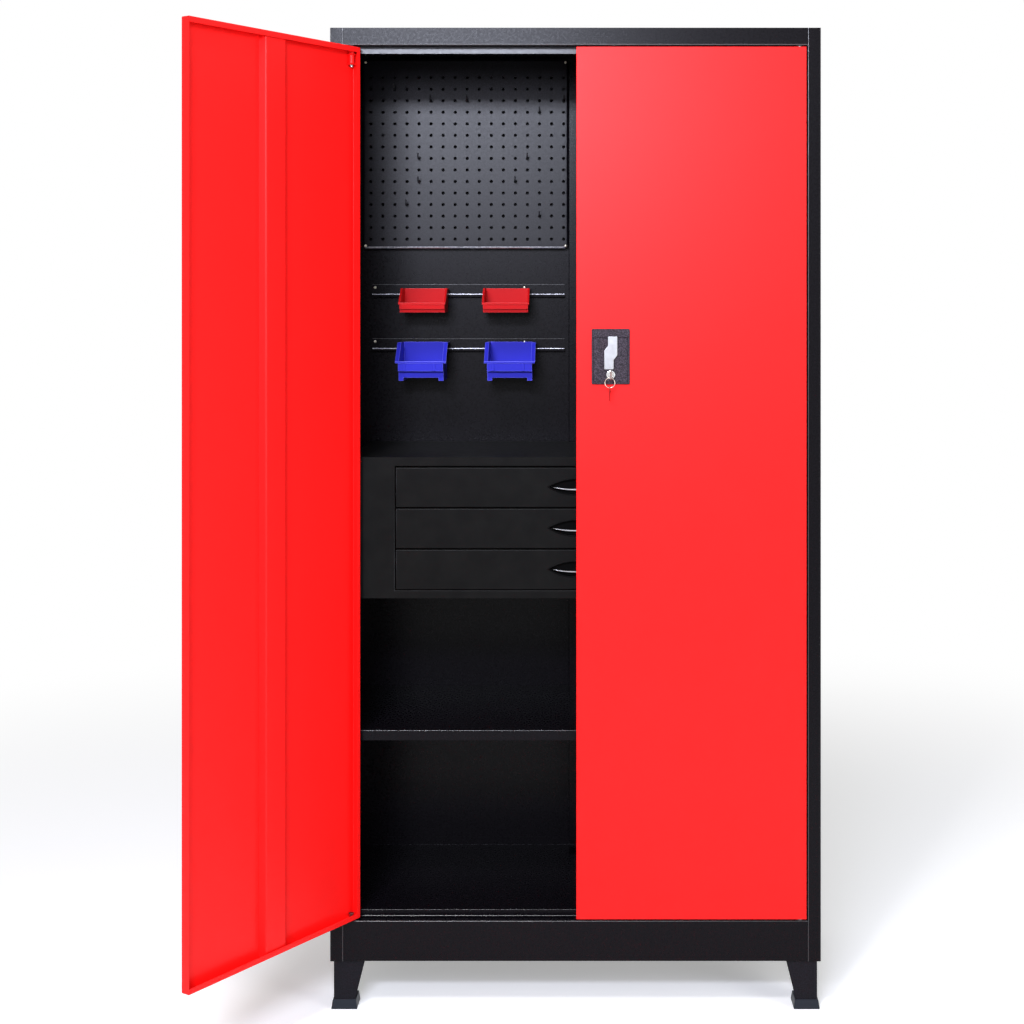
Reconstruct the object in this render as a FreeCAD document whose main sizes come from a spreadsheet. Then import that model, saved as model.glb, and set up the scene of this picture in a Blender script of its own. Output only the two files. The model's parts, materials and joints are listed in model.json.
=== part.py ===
import FreeCAD, Part
import os
import re
import Sketcher

# A steel tool cabinet with two doors, a pegboard back, bins, a drawer chest and a shelf.
# The origin is on the floor under the middle of the carcass. X runs to the right, Y runs from
# the front to the back and Z runs up. All lengths are in millimetres and angles in degrees.

SIZES = {
    # Carcass
    "width": 900,
    "depth": 400,
    "height": 1800,
    "sheet": 1.2,
    "fit": 0.3,
    "leg_height": 88.7,
    "stile_width": 24,
    "header_height": 32,
    "stop_depth": 25,
    "stop_lip": 12,
    "stop_flange": 15,
    "plinth_height": 74.3,
    "plinth_top_flange": 30,
    "plinth_bottom_flange": 60,
    "rear_flange": 25,
    "floor_rise": 12,
    "floor_side_flange": 20,
    "floor_upstand": 16,
    "seam_flange": 18,
    "post_width": 28,
    # Legs and their caps
    "leg_inset": 6,
    "leg_top_width": 57,
    "leg_bottom_width": 39.5,
    "leg_sheet": 2,
    "cap_height": 17,
    "cap_margin": 1.75,
    "cap_flare": 2.5,
    "spigot_height": 12,
    # Doors
    "door_sheet": 1,
    "door_gap": 2.5,
    "meeting_gap": 3,
    "door_depth": 18,
    "door_lip": 10,
    "left_door_angle": 124,
    "stiffener_offset": 207.5,
    "stiffener_width": 58,
    "stiffener_taper": 5,
    "stiffener_depth": 13,
    # Hinges
    "pin_inset": 12,
    "pin_setback": 6,
    "pin_radius": 3.5,
    "pin_running": 0.06,
    "pin_overlap": 7,
    "pin_tail": 37.5,
    "pin_head_radius": 4.8,
    "pin_head": 2,
    "pin_shank": 8.5,
    "collar_radius": 5.4,
    "collar_height": 1,
    "bush_wall": 1,
    "bush_flange_radius": 5.5,
    "bush_flange": 1.2,
    "bush_length": 9,
    "bracket_sheet": 1.5,
    "bracket_reach": 19.5,
    "bracket_height": 19,
    "bracket_depth": 13,
    "bracket_drop": 13.5,
    "pivot_plate": 2.5,
    # Pegboards
    "peg_sheet": 1,
    "peg_stand_off": 22.6,
    "peg_side_margin": 11.8,
    "peg_height": 388.5,
    "peg_top_margin": 5,
    "peg_seam_gap": 0.5,
    "peg_first_column": 24.5,
    "peg_column_pitch": 24.74,
    "peg_first_row": 19.5,
    "peg_row_pitch": 23.7,
    "peg_hole": 5,
    "peg_hole_margin": 16,
    "hook_wire": 3,
    "hook_reach": 26,
    "hook_tip": 11,
    "hook_anchor": 12,
    # Bin rails
    "upper_rail_drop": 73.5,
    "rail_spacing": 112,
    "rail_end": 22,
    "rail_side_gap": 28.8,
    "rail_flange": 27,
    "rail_stand_off": 8.4,
    "rail_lip": 8,
    "screw_radius": 3.5,
    "screw_head": 2,
    "screw_margin": 6,
    "rail_screw_place": 105.5,
    # Shelf
    "shelf_top": 505,
    "shelf_lip": 18.5,
    "shelf_setback": 28,
    "shelf_hem": 8,
    "clip_reach": 12,
    "clip_height": 14,
    "clip_width": 20,
    "clip_inset": 60,
    # Drawer chest
    "chest_space": 396.5,
    "chest_side_gap": 25.8,
    "chest_setback": 30,
    "chest_stile": 89,
    "chest_top_rail": 17,
    "chest_bottom_rail": 15,
    "frame_return": 12,
    "drawer_pitch": 76,
    "drawer_gap": 1,
    "drawer_sheet": 1,
    "front_return": 12,
    "tray_inset": 11,
    "tray_rise": 6,
    "tray_drop": 8,
    "tray_back_gap": 14.1,
    "runner_back_gap": 18.8,
    "runner_height": 30,
    "runner_mouth_gap": 2,
    "guide_flange": 15,
    "support_reach": 48,
    "support_height": 28,
    "support_inset": 20,
    # Drawer pulls
    "pull_length": 102,
    "pull_height": 30,
    "pull_wall": 1.2,
    "pull_floor": 1,
    "pull_slack": 0.1,
    "pull_back_gap": 0.4,
    "pull_bar_height": 5,
    "pull_bar_depth": 5,
    "pull_bar_proud": 1.5,
    # Lock
    "lock_offset": 64.5,
    "lock_height": 1204,
    "plate_width": 70,
    "plate_top": 44,
    "plate_height": 101.5,
    "plate_thickness": 2.5,
    "plate_corner": 3,
    "plate_rim": 2.5,
    "plate_rim_height": 0.7,
    "plate_band": 16,
    "plate_band_height": 1.5,
    "handle_lift": 1,
    "handle_thickness": 4,
    "handle_edge": 1,
    "handle_reach": 30,
    "handle_outer": 12,
    "handle_inner": 5.2,
    "handle_shoulder": 4.5,
    "handle_notch": 13,
    "spindle_radius": 5,
    "spindle_end_radius": 4,
    "housing_width": 60,
    "housing_height": 90,
    "housing_depth": 7,
    "cam_gap": 0.5,
    "cam_rim": 0.9,
    "cam_thickness": 2.5,
    "cam_pin_radius": 2.5,
    "cam_pin_length": 4.2,
    "rod_travel": 15,
    "rod_width": 14,
    "rod_thickness": 2.5,
    "rod_side_gap": 2,
    "rod_cam_gap": 1.4,
    "rod_foot": 7.5,
    "rod_proud": 1,
    "slot_slack": 0.5,
    "guide_wall": 3.6,
    "guide_height": 12,
    "guide_slack": 0.4,
    "guide_from_lock": 130,
    "guide_from_end": 120,
    "keeper_slack": 0.6,
    # Cylinder and keys
    "cylinder_drop": 40,
    "cylinder_radius": 8,
    "cylinder_length": 15,
    "cylinder_hole_slack": 0.1,
    "plug_radius": 5.5,
    "plug_proud": 0.3,
    "plug_back_gap": 0.5,
    "key_thickness": 1.4,
    "key_blade": 7.6,
    "key_blade_slack": 0.2,
    "key_bow_gap": 1.5,
    "key_bow_radius": 9.5,
    "key_hole_radius": 3,
    "key_hole_drop": 4,
    "key_hole_forward": 1.5,
    "key_insertion": 12,
    "ring_radius": 8.9,
    "ring_wire": 0.9,
    "ring_slack": 0.9,
    "ring_side_shift": 2,
    "spare_bow_radius": 7,
    "spare_hole_radius": 2.4,
    "spare_hole_rise": 3.6,
    "spare_blade": 5,
    "spare_blade_length": 12,
    # Bins
    "bin_wall": 1.8,
    "bin_lip_band": 2,
    "bin_hook": 1.5,
    "bin_hook_drop": 5,
    "bin_rail_gap": 0.3,
    "red_bin_width": 90.5,
    "red_bin_rim": 2,
    "red_bin_depth": 97,
    "red_bin_height": 49,
    "red_bin_rise": 11,
    "red_bin_lip": 19.5,
    "red_bin_chin": 7,
    "red_bin_shoulder": 45,
    "red_bin_toe": 8,
    "red_outer_centre": 308,
    "red_inner_centre": 140.5,
    "blue_bin_width": 90,
    "blue_bin_rim": 6,
    "blue_bin_depth": 108,
    "blue_bin_height": 70,
    "blue_bin_rise": 13,
    "blue_bin_lip": 33,
    "blue_bin_chin": 13.5,
    "blue_bin_shoulder": 50,
    "blue_bin_toe": 14,
    "blue_foot_width": 10,
    "blue_foot_height": 6,
    "blue_outer_centre": 310,
    "blue_inner_centre": 132,
}

DRAWERS = ("bottom_drawer", "middle_drawer", "top_drawer")

# Places worked out from the sizes, as formulas that use the same words.
PLACES = {
    "front": "-depth / 2",
    "back": "depth / 2",
    "inner_side": "width / 2 - sheet",
    "opening_side": "width / 2 - stile_width",
    "plinth_top": "leg_height + plinth_height",
    "header_bottom": "height - header_height",
    "floor_top": "plinth_top + floor_rise",
    "stop_face": "front + stop_depth",
    "bearer_face": "stop_face + sheet",
    "back_face": "back - 2 * sheet",
    "leg_x": "width / 2 - leg_inset",
    "leg_y": "depth / 2 - leg_inset",
    "cap_top_width": "leg_bottom_width + 2 * cap_margin",
    "door_near": "meeting_gap / 2",
    "door_far": "opening_side - door_gap",
    "door_bottom": "plinth_top + door_gap",
    "door_top": "header_bottom - door_gap",
    "door_skin": "front + door_sheet",
    "door_back": "front + door_depth",
    "hinge_x": "door_far - pin_inset",
    "hinge_y": "front + pin_setback",
    "pin_hole": "pin_radius + pin_running",
    "peg_face": "back_face - peg_stand_off",
    "peg_near": "post_width / 2 + peg_seam_gap",
    "peg_far": "inner_side - peg_side_margin",
    "peg_top": "height - peg_top_margin",
    "peg_bottom": "peg_top - peg_height",
    "peg_columns": "floor((peg_far - peg_first_column - peg_hole_margin) / peg_column_pitch) + 1",
    "peg_rows": "floor((peg_height - peg_first_row - peg_hole_margin) / peg_row_pitch) + 1",
    "upper_rail_top": "peg_bottom - upper_rail_drop",
    "lower_rail_top": "upper_rail_top - rail_spacing",
    "upper_lip_top": "upper_rail_top - rail_flange + rail_lip",
    "lower_lip_top": "lower_rail_top - rail_flange + rail_lip",
    "rail_far": "inner_side - rail_side_gap",
    "rail_front": "back_face - rail_stand_off",
    "chest_front": "front + chest_setback",
    "chest_side": "inner_side - chest_side_gap",
    "chest_top": "peg_bottom - chest_space",
    "drawer_stack": f"{len(DRAWERS)} * drawer_pitch",
    "drawer_base": "chest_top - chest_top_rail - drawer_stack",
    "chest_bottom": "drawer_base - drawer_gap - chest_bottom_rail",
    "casing_back": "back_face - fit - sheet",
    "frame_side": "chest_side - chest_stile",
    "drawer_side": "frame_side - drawer_gap",
    "guide_face": "frame_side + sheet + fit",
    "tray_front": "chest_front + front_return",
    "tray_back": "casing_back - tray_back_gap",
    "tray_side": "drawer_side - tray_inset",
    "runner_front": "tray_front + fit",
    "runner_back": "casing_back - runner_back_gap",
    "pull_radius": "(pull_length ^ 2 + pull_height ^ 2) / (4 * pull_height)",
    "pull_centre": "pull_radius - pull_height / 2",
    "plate_face": "front - plate_thickness",
    "band_face": "plate_face - plate_band_height",
    "handle_back": "band_face - handle_lift",
    "handle_front": "handle_back - handle_thickness",
    "housing_back": "door_skin + housing_depth",
    "cam_front": "housing_back + cam_gap",
    "cam_back": "cam_front + cam_thickness",
    "cam_shift": "rod_travel / 2",
    "cam_throw": "sqrt(2) * cam_shift",
    "cam_radius": "cam_throw + cam_pin_radius + cam_rim",
    "rod_shift": "rod_width / 2 + rod_side_gap",
    "guide_width": "rod_width + 2 * guide_slack + 2 * guide_wall",
    "rod_front": "cam_back + rod_cam_gap",
    "rod_back": "rod_front + rod_thickness",
    "keeper_edge": "rod_front - keeper_slack",
    "cylinder_z": "lock_height - cylinder_drop",
    "key_bow_y": "handle_front - key_bow_gap - key_bow_radius",
    "key_hole_y": "key_bow_y - key_hole_forward",
    "key_hole_z": "cylinder_z - key_hole_drop",
    "ring_x": "lock_offset - ring_side_shift",
    "ring_sag": "key_hole_radius - ring_wire - ring_slack",
    "ring_z": "key_hole_z - ring_sag - sqrt(ring_radius ^ 2 - ring_side_shift ^ 2)",
    "spare_hole_z": "ring_z - ring_radius - spare_hole_radius + ring_wire + fit",
    "spare_bow_z": "spare_hole_z - spare_hole_rise",
}

WORD = re.compile(r"[a-z][a-z_0-9]*")
CLOSE = 1e-6
PLANES = {"x": ("YZ_Plane", 1), "y": ("XZ_Plane", -1), "z": ("XY_Plane", 1)}

doc = FreeCAD.newDocument("ToolCabinet")
sheet = doc.addObject("Spreadsheet::Sheet", "Sizes")
for number, (alias, size) in enumerate(SIZES.items(), start=1):
    sheet.set(f"A{number}", alias)
    sheet.set(f"B{number}", str(size))
    sheet.setAlias(f"B{number}", alias)
doc.recompute()

nodes = []


def formula(text):
    """Turn words into references to the sheet."""

    def refer(match):
        word = match.group(0)
        if word in PLACES:
            return f"({formula(PLACES[word])})"
        return f"Sizes.{word}" if word in SIZES else word

    return WORD.sub(refer, str(text))


def value(text):
    """The number that a formula stands for."""
    result = sheet.evalExpression(formula(text))
    return float(getattr(result, "Value", result))


def vector(x, y, z):
    return FreeCAD.Vector(value(x), value(y), value(z))


def new_body(label):
    body = doc.addObject("PartDesign::Body", label)
    body.Label = label
    body.AllowCompound = True
    nodes.append(body)
    return body


def middle_of_arc(start, end, radius):
    """The middle of an arc that turns left for a positive radius and right for a negative one."""
    chord = end - start
    left = FreeCAD.Vector(-chord.y, chord.x, 0).normalize()
    half = chord.Length / 2
    sagitta = abs(radius) - (radius ** 2 - half ** 2) ** 0.5
    side = -1 if radius > 0 else 1
    return (start + end) / 2 + left * sagitta * side


def pin_point(profile, geometry, position, x, y):
    """Fix one point of the profile at a place given by formulas."""
    for kind, text in (("DistanceX", x), ("DistanceY", y)):
        index = profile.addConstraint(Sketcher.Constraint(kind, -1, 1, geometry, position, value(text)))
        profile.setExpression(f"Constraints[{index}]", formula(text))


def set_radius(profile, geometry, text):
    index = profile.addConstraint(Sketcher.Constraint("Radius", geometry, value(text)))
    profile.setExpression(f"Constraints[{index}]", formula(text))


def draw_circle(profile, x, y, radius):
    circle = Part.Circle(vector(x, y, 0), FreeCAD.Vector(0, 0, 1), value(radius))
    geometry = profile.addGeometry(circle, False)
    pin_point(profile, geometry, 3, x, y)
    set_radius(profile, geometry, radius)


def draw_outline(profile, corners):
    """Draw a closed outline. A third value makes the edge after that corner an arc."""
    spots = [vector(corner[0], corner[1], 0) for corner in corners]
    edges = []
    for index, corner in enumerate(corners):
        start = spots[index]
        end = spots[(index + 1) % len(spots)]
        if len(corner) == 2:
            geometry = profile.addGeometry(Part.LineSegment(start, end), False)
            edges.append((geometry, 1, 2))
            continue
        radius = value(corner[2])
        arc = Part.Arc(start, middle_of_arc(start, end, radius), end)
        geometry = profile.addGeometry(arc, False)
        edges.append((geometry, 1, 2) if radius > 0 else (geometry, 2, 1))
    for index, (geometry, first, last) in enumerate(edges):
        following, following_first, _ = edges[(index + 1) % len(edges)]
        profile.addConstraint(
            Sketcher.Constraint("Coincident", geometry, last, following, following_first)
        )
        pin_point(profile, geometry, first, corners[index][0], corners[index][1])
        if len(corners[index]) == 3:
            set_radius(profile, geometry, f"abs({corners[index][2]})")


def new_profile(body, plane, level, loops):
    """A sketch at a level along the normal of one of the body's own planes."""
    profile = body.newObject("Sketcher::SketchObject", f"{body.Name}_profile")
    support = next(item for item in body.Origin.OriginFeatures if item.Role == plane)
    profile.AttachmentSupport = [(support, "")]
    profile.MapMode = "FlatFace"
    profile.setExpression("AttachmentOffset.Base.z", formula(level))
    for loop in loops:
        if isinstance(loop, tuple):
            draw_circle(profile, *loop)
        else:
            draw_outline(profile, loop)
    return profile


def extrude(body, axis, low, high, *loops):
    """Add a prism between two levels along an axis."""
    plane, turn = PLANES[axis]
    start = low if turn > 0 else f"-({high})"
    pad = body.newObject("PartDesign::Pad", f"{body.Name}_pad")
    pad.Profile = new_profile(body, plane, start, loops)
    pad.setExpression("Length", formula(f"({high}) - ({low})"))
    body.Tip = pad
    return pad


def cut(body, axis, low, high, *loops):
    """Remove a prism between two levels along an axis."""
    plane, turn = PLANES[axis]
    start = high if turn > 0 else f"-({low})"
    pocket = body.newObject("PartDesign::Pocket", f"{body.Name}_pocket")
    pocket.Profile = new_profile(body, plane, start, loops)
    pocket.setExpression("Length", formula(f"({high}) - ({low})"))
    body.Tip = pocket
    return pocket


def loft(body, low, low_loop, high, high_loop):
    """Add a loft between two outlines at two heights."""
    shape = body.newObject("PartDesign::AdditiveLoft", f"{body.Name}_loft")
    shape.Profile = new_profile(body, "XY_Plane", low, [low_loop])
    shape.Sections = [new_profile(body, "XY_Plane", high, [high_loop])]
    shape.Ruled = True
    body.Tip = shape
    return shape


def round_edges(body, radius, choose):
    """Round the edges that the choose function picks."""
    doc.recompute()
    base = body.Tip
    names = [
        f"Edge{number}" for number, edge in enumerate(base.Shape.Edges, start=1) if choose(edge)
    ]
    fillet = body.newObject("PartDesign::Fillet", f"{body.Name}_fillet")
    fillet.Base = (base, names)
    fillet.setExpression("Radius", formula(radius))
    body.Tip = fillet


def runs_along(edge, axis):
    """Whether a straight edge is parallel to an axis."""
    if not isinstance(edge.Curve, Part.Line):
        return False
    return abs(abs(edge.Curve.Direction.dot(axis)) - 1) < CLOSE


def box(x_low, x_high, y_low, y_high):
    """A rectangle as an outline."""
    return [(x_low, y_low), (x_high, y_low), (x_high, y_high), (x_low, y_high)]


def flip(side, outline):
    """An outline with its first coordinate turned to the left or the right side."""
    return [(f"{side} * ({corner[0]})", *corner[1:]) for corner in outline]


def outward(side, near, far):
    """The two ends of a stretch that runs out from the middle, the lower one first."""
    return (near, far) if side > 0 else (f"-({far})", f"-({near})")


SIDES = (("left", -1), ("right", 1))


# ---- Carcass ----------------------------------------------------------------------------------

def side_panel(name, side):
    """One bent sheet: the side wall, the front stile with its return, and the rear flange."""
    body = new_body(f"{name}_side_panel")
    outline = [
        ("opening_side", "front"),
        ("width / 2", "front"),
        ("width / 2", "back"),
        ("width / 2 - rear_flange", "back"),
        ("width / 2 - rear_flange", "back - sheet"),
        ("inner_side", "back - sheet"),
        ("inner_side", "front + sheet"),
        ("opening_side + sheet", "front + sheet"),
        ("opening_side + sheet", "stop_face"),
        ("opening_side", "stop_face"),
    ]
    extrude(body, "z", "leg_height", "height", flip(side, outline))
    # The stile's return stops under the top sheet.
    corner = box("opening_side", "inner_side", "front + sheet", "stop_face")
    cut(body, "z", "height - sheet", "height", flip(side, corner))


def top_panel():
    """The top sheet with its rear flange."""
    body = new_body("top_panel")
    extrude(body, "z", "height - sheet", "height",
            box("-inner_side", "inner_side", "front + sheet", "back - sheet"))
    rear = box("back - sheet", "back", "height - rear_flange", "height")
    extrude(body, "x", "-(width / 2 - rear_flange)", "width / 2 - rear_flange", rear)


def bush_holes():
    """The seats of the two hinge bushes in a rail."""
    return [(f"{side} * hinge_x", "hinge_y", "pin_hole + bush_wall") for _, side in SIDES]


def header_rail():
    """The channel over the doors, which the upper lock rod catches behind, and the door stop."""
    body = new_body("header_rail")
    channel = [
        ("front", "header_bottom"),
        ("keeper_edge", "header_bottom"),
        ("keeper_edge", "header_bottom + sheet"),
        ("front + sheet", "header_bottom + sheet"),
        ("front + sheet", "height - 2 * sheet"),
        ("keeper_edge", "height - 2 * sheet"),
        ("keeper_edge", "height - sheet"),
        ("front + sheet", "height - sheet"),
        ("front + sheet", "height"),
        ("front", "height"),
    ]
    extrude(body, "x", "-opening_side", "opening_side", channel)
    stop = [
        ("stop_face", "header_bottom - stop_lip"),
        ("stop_face + sheet", "header_bottom - stop_lip"),
        ("stop_face + sheet", "height - 2 * sheet"),
        ("stop_face + stop_flange", "height - 2 * sheet"),
        ("stop_face + stop_flange", "height - sheet"),
        ("stop_face", "height - sheet"),
    ]
    extrude(body, "x", "-opening_side", "opening_side", stop)
    cut(body, "z", "header_bottom - sheet", "header_bottom + 2 * sheet", *bush_holes())


def floor_panel():
    """The cabinet floor: side flanges, a front riser that stops the doors, a rear upstand."""
    body = new_body("floor_panel")
    section = [
        ("-inner_side", "floor_top - floor_side_flange"),
        ("-inner_side + sheet", "floor_top - floor_side_flange"),
        ("-inner_side + sheet", "floor_top - sheet"),
        ("inner_side - sheet", "floor_top - sheet"),
        ("inner_side - sheet", "floor_top - floor_side_flange"),
        ("inner_side", "floor_top - floor_side_flange"),
        ("inner_side", "floor_top"),
        ("-inner_side", "floor_top"),
    ]
    extrude(body, "y", "stop_face", "back_face", section)
    riser = box("stop_face", "stop_face + sheet", "plinth_top", "floor_top")
    extrude(body, "x", "-opening_side", "opening_side", riser)
    upstand = box("back_face - sheet", "back_face", "floor_top - sheet", "floor_top + floor_upstand")
    extrude(body, "x", "-inner_side", "inner_side", upstand)


def front_plinth():
    """The channel under the doors, which the lower lock rod catches behind, and the floor bearer."""
    body = new_body("front_plinth")
    channel = [
        ("front", "leg_height"),
        ("keeper_edge", "leg_height"),
        ("keeper_edge", "leg_height + sheet"),
        ("front + sheet", "leg_height + sheet"),
        ("front + sheet", "plinth_top - sheet"),
        ("keeper_edge", "plinth_top - sheet"),
        ("keeper_edge", "plinth_top"),
        ("front", "plinth_top"),
    ]
    extrude(body, "x", "-opening_side", "opening_side", channel)
    bearer_back = "front + plinth_bottom_flange"
    bearer = [
        ("bearer_face", "leg_height"),
        (bearer_back, "leg_height"),
        (bearer_back, "leg_height + sheet"),
        ("bearer_face + sheet", "leg_height + sheet"),
        ("bearer_face + sheet", "floor_top - 2 * sheet"),
        (bearer_back, "floor_top - 2 * sheet"),
        (bearer_back, "floor_top - sheet"),
        ("bearer_face", "floor_top - sheet"),
    ]
    extrude(body, "x", "-(inner_side - sheet)", "inner_side - sheet", bearer)
    cut(body, "z", "plinth_top - 2 * sheet", "plinth_top + sheet", *bush_holes())


def rear_plinth():
    """A channel between the floor and the rear legs, against the back panels."""
    body = new_body("rear_plinth")
    section = [
        ("back_face - plinth_bottom_flange", "leg_height"),
        ("back_face", "leg_height"),
        ("back_face", "floor_top - sheet"),
        ("back_face - plinth_top_flange", "floor_top - sheet"),
        ("back_face - plinth_top_flange", "floor_top - 2 * sheet"),
        ("back_face - sheet", "floor_top - 2 * sheet"),
        ("back_face - sheet", "leg_height + sheet"),
        ("back_face - plinth_bottom_flange", "leg_height + sheet"),
    ]
    extrude(body, "x", "-(inner_side - sheet)", "inner_side - sheet", section)


def back_panel(name, side):
    """Half of the back, with a flange turned forward along the seam in the middle."""
    body = new_body(f"{name}_back_panel")
    sheet_outline = box("0", "inner_side - fit", "back_face", "back - sheet")
    extrude(body, "z", "leg_height", "height - sheet", flip(side, sheet_outline))
    seam_outline = box("0", "sheet", "back_face - seam_flange", "back - sheet")
    extrude(body, "z", "floor_top + floor_upstand + fit", "height - sheet - fit",
            flip(side, seam_outline))
    # The seam flange is left out behind the drawer chest.
    chest_gap = box("-2 * sheet", "2 * sheet", "chest_bottom - fit", "chest_top + fit")
    cut(body, "y", "back_face - seam_flange - sheet", "back_face", chest_gap)


def back_post():
    """The channel that covers the seam between the back panels."""
    body = new_body("back_post")
    half = "post_width / 2"
    section = [
        (f"-{half}", "peg_face"),
        (half, "peg_face"),
        (half, "back_face"),
        (f"{half} - sheet", "back_face"),
        (f"{half} - sheet", "peg_face + sheet"),
        (f"-{half} + sheet", "peg_face + sheet"),
        (f"-{half} + sheet", "back_face"),
        (f"-{half}", "back_face"),
    ]
    extrude(body, "z", "floor_top + floor_upstand + fit", "height - sheet - fit", section)
    chest_gap = box(f"-({half} + fit)", f"{half} + fit", "chest_bottom - fit", "chest_top + fit")
    cut(body, "y", "peg_face - sheet", "back_face + sheet", chest_gap)


def corner_square(side, end, width, proud):
    """A square at the outer corner of a leg that stands proud of it by a distance."""
    near_x = f"{side} * (leg_x + {proud})"
    near_y = f"{end} * (leg_y + {proud})"
    far_x = f"{side} * (leg_x + {proud} - {width})"
    far_y = f"{end} * (leg_y + {proud} - {width})"
    return [(near_x, near_y), (far_x, near_y), (far_x, far_y), (near_x, far_y)]


def corner_legs():
    """Four angle legs that taper downwards, each with a top plate under the plinth."""
    body = new_body("corner_legs")
    top = "leg_height - leg_sheet"
    for _, side in SIDES:
        for end in (-1, 1):
            flanges = (("y", side, "leg_x", end, "leg_y"), ("x", end, "leg_y", side, "leg_x"))
            for axis, turn, corner, face_turn, face in flanges:
                blade = [
                    (f"{turn} * {corner}", "cap_height"),
                    (f"{turn} * ({corner} - leg_bottom_width)", "cap_height"),
                    (f"{turn} * ({corner} - leg_top_width)", top),
                    (f"{turn} * {corner}", top),
                ]
                low, high = outward(face_turn, f"{face} - leg_sheet", face)
                extrude(body, axis, low, high, blade)
            extrude(body, "z", top, "leg_height", corner_square(side, end, "leg_top_width", "0"))


def foot_caps():
    """Four moulded caps under the legs, wider at the floor, each with a spigot inside the angle."""
    body = new_body("foot_caps")
    for _, side in SIDES:
        for end in (-1, 1):
            foot = corner_square(side, end, "(cap_top_width + 2 * cap_flare)", "(cap_margin + cap_flare)")
            crown = corner_square(side, end, "cap_top_width", "cap_margin")
            loft(body, "0", foot, "cap_height", crown)
            spigot = corner_square(side, end, "(leg_bottom_width - 2 * leg_sheet)", "(-leg_sheet)")
            extrude(body, "z", "cap_height", "cap_height + spigot_height", spigot)


# ---- Pegboards, hooks, rails and screws -------------------------------------------------------

def pegboard(name, side):
    """A perforated pan screwed to the back, its four edges turned back to the back panel."""
    pitch = value("peg_column_pitch")
    rise = value("peg_row_pitch")
    half = value("peg_hole / 2")
    front_face = value("peg_face")

    def rectangle(x_low, x_high, z_low, z_high, y):
        corners = [(x_low, z_low), (x_high, z_low), (x_high, z_high), (x_low, z_high)]
        return Part.makePolygon([FreeCAD.Vector(x, y, z) for x, z in corners + corners[:1]])

    near = value("peg_near")
    far = value("peg_far")
    low = value("peg_bottom")
    high = value("peg_top")
    thickness = value("peg_sheet")
    rear = value("back_face")
    wires = [rectangle(near, far, low, high, front_face)]
    for column in range(round(value("peg_columns"))):
        for row in range(round(value("peg_rows"))):
            x = value("peg_first_column") + column * pitch
            z = low + value("peg_first_row") + row * rise
            wires.append(rectangle(x - half, x + half, z - half, z + half, front_face))
    plate = Part.makeFace(wires, "Part::FaceMakerBullseye")
    plate = plate.extrude(FreeCAD.Vector(0, thickness, 0))
    rim = Part.makeFace([
        rectangle(near, far, low, high, front_face + thickness),
        rectangle(near + thickness, far - thickness, low + thickness, high - thickness,
                  front_face + thickness),
    ], "Part::FaceMakerBullseye")
    rim = rim.extrude(FreeCAD.Vector(0, rear - front_face - thickness, 0))
    shape = plate.fuse(rim).removeSplitter()
    if side < 0:
        shape = shape.mirror(FreeCAD.Vector(), FreeCAD.Vector(1, 0, 0))
    board = doc.addObject("Part::Feature", f"{name}_pegboard")
    board.Label = f"{name}_pegboard"
    board.Shape = shape
    board.Placement = FreeCAD.Placement()
    nodes.append(board)


# Column and row of the pegboard hole that each hook sits in, on the left pegboard.
HOOK_HOLES = [
    (14, 13), (11, 12), (8, 12), (2, 11), (0, 12), (12, 7), (3, 7), (12, 5), (4, 5), (13, 3), (2, 2),
]


def pegboard_hooks():
    """Bent hooks: an anchor behind the board, an arm through the hole and a raised tip."""
    body = new_body("pegboard_hooks")
    rear = "peg_face + peg_sheet"
    tip = "peg_face - hook_reach"
    for column, row in HOOK_HOLES:
        middle = f"-(peg_first_column + {column} * peg_column_pitch)"
        low = f"peg_bottom + peg_first_row + {row} * peg_row_pitch - peg_hole / 2"
        outline = [
            (tip, low),
            (f"{rear} + hook_wire", low),
            (f"{rear} + hook_wire", f"{low} + hook_anchor"),
            (rear, f"{low} + hook_anchor"),
            (rear, f"{low} + hook_wire"),
            (f"{tip} + hook_wire", f"{low} + hook_wire"),
            (f"{tip} + hook_wire", f"{low} + hook_tip"),
            (tip, f"{low} + hook_tip"),
        ]
        extrude(body, "x", f"{middle} - hook_wire / 2", f"{middle} + hook_wire / 2", outline)


RAIL_TOPS = ("upper_rail_top", "lower_rail_top")


def bin_rails():
    """Two pairs of rails: a flange up the back panel and, at its foot, a lip that bins hook over."""
    body = new_body("bin_rails")
    for _, side in SIDES:
        for top in RAIL_TOPS:
            web = f"{top} - rail_flange"
            section = [
                ("rail_front", web),
                ("back_face", web),
                ("back_face", top),
                ("back_face - sheet", top),
                ("back_face - sheet", f"{web} + sheet"),
                ("rail_front + sheet", f"{web} + sheet"),
                ("rail_front + sheet", f"{web} + rail_lip"),
                ("rail_front", f"{web} + rail_lip"),
            ]
            low, high = outward(side, "rail_end", "rail_far")
            extrude(body, "x", low, high, section)


def hexagon(x, z, radius):
    """A hexagon about a point, with a corner to each side."""
    return [(f"{x} + {radius} * cos({turn})", f"{z} + {radius} * sin({turn})")
            for turn in range(0, 360, 60)]


def panel_screws():
    """The hexagon heads of the screws that hold the pegboards and the rails."""
    body = new_body("panel_screws")
    peg_heads = []
    rail_heads = []
    for _, side in SIDES:
        for x in ("peg_near + screw_margin", "peg_far - screw_margin"):
            for z in ("peg_bottom + screw_margin", "peg_top - screw_margin"):
                peg_heads.append(hexagon(f"{side} * ({x})", z, "screw_radius"))
        for x in ("rail_screw_place", "rail_far - screw_margin"):
            for top in RAIL_TOPS:
                rail_heads.append(hexagon(f"{side} * ({x})", f"{top} - screw_margin", "screw_radius"))
    extrude(body, "y", "peg_face - screw_head", "peg_face", *peg_heads)
    extrude(body, "y", "back_face - sheet - screw_head", "back_face - sheet", *rail_heads)


# ---- Shelf and drawer chest -------------------------------------------------------------------

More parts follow.
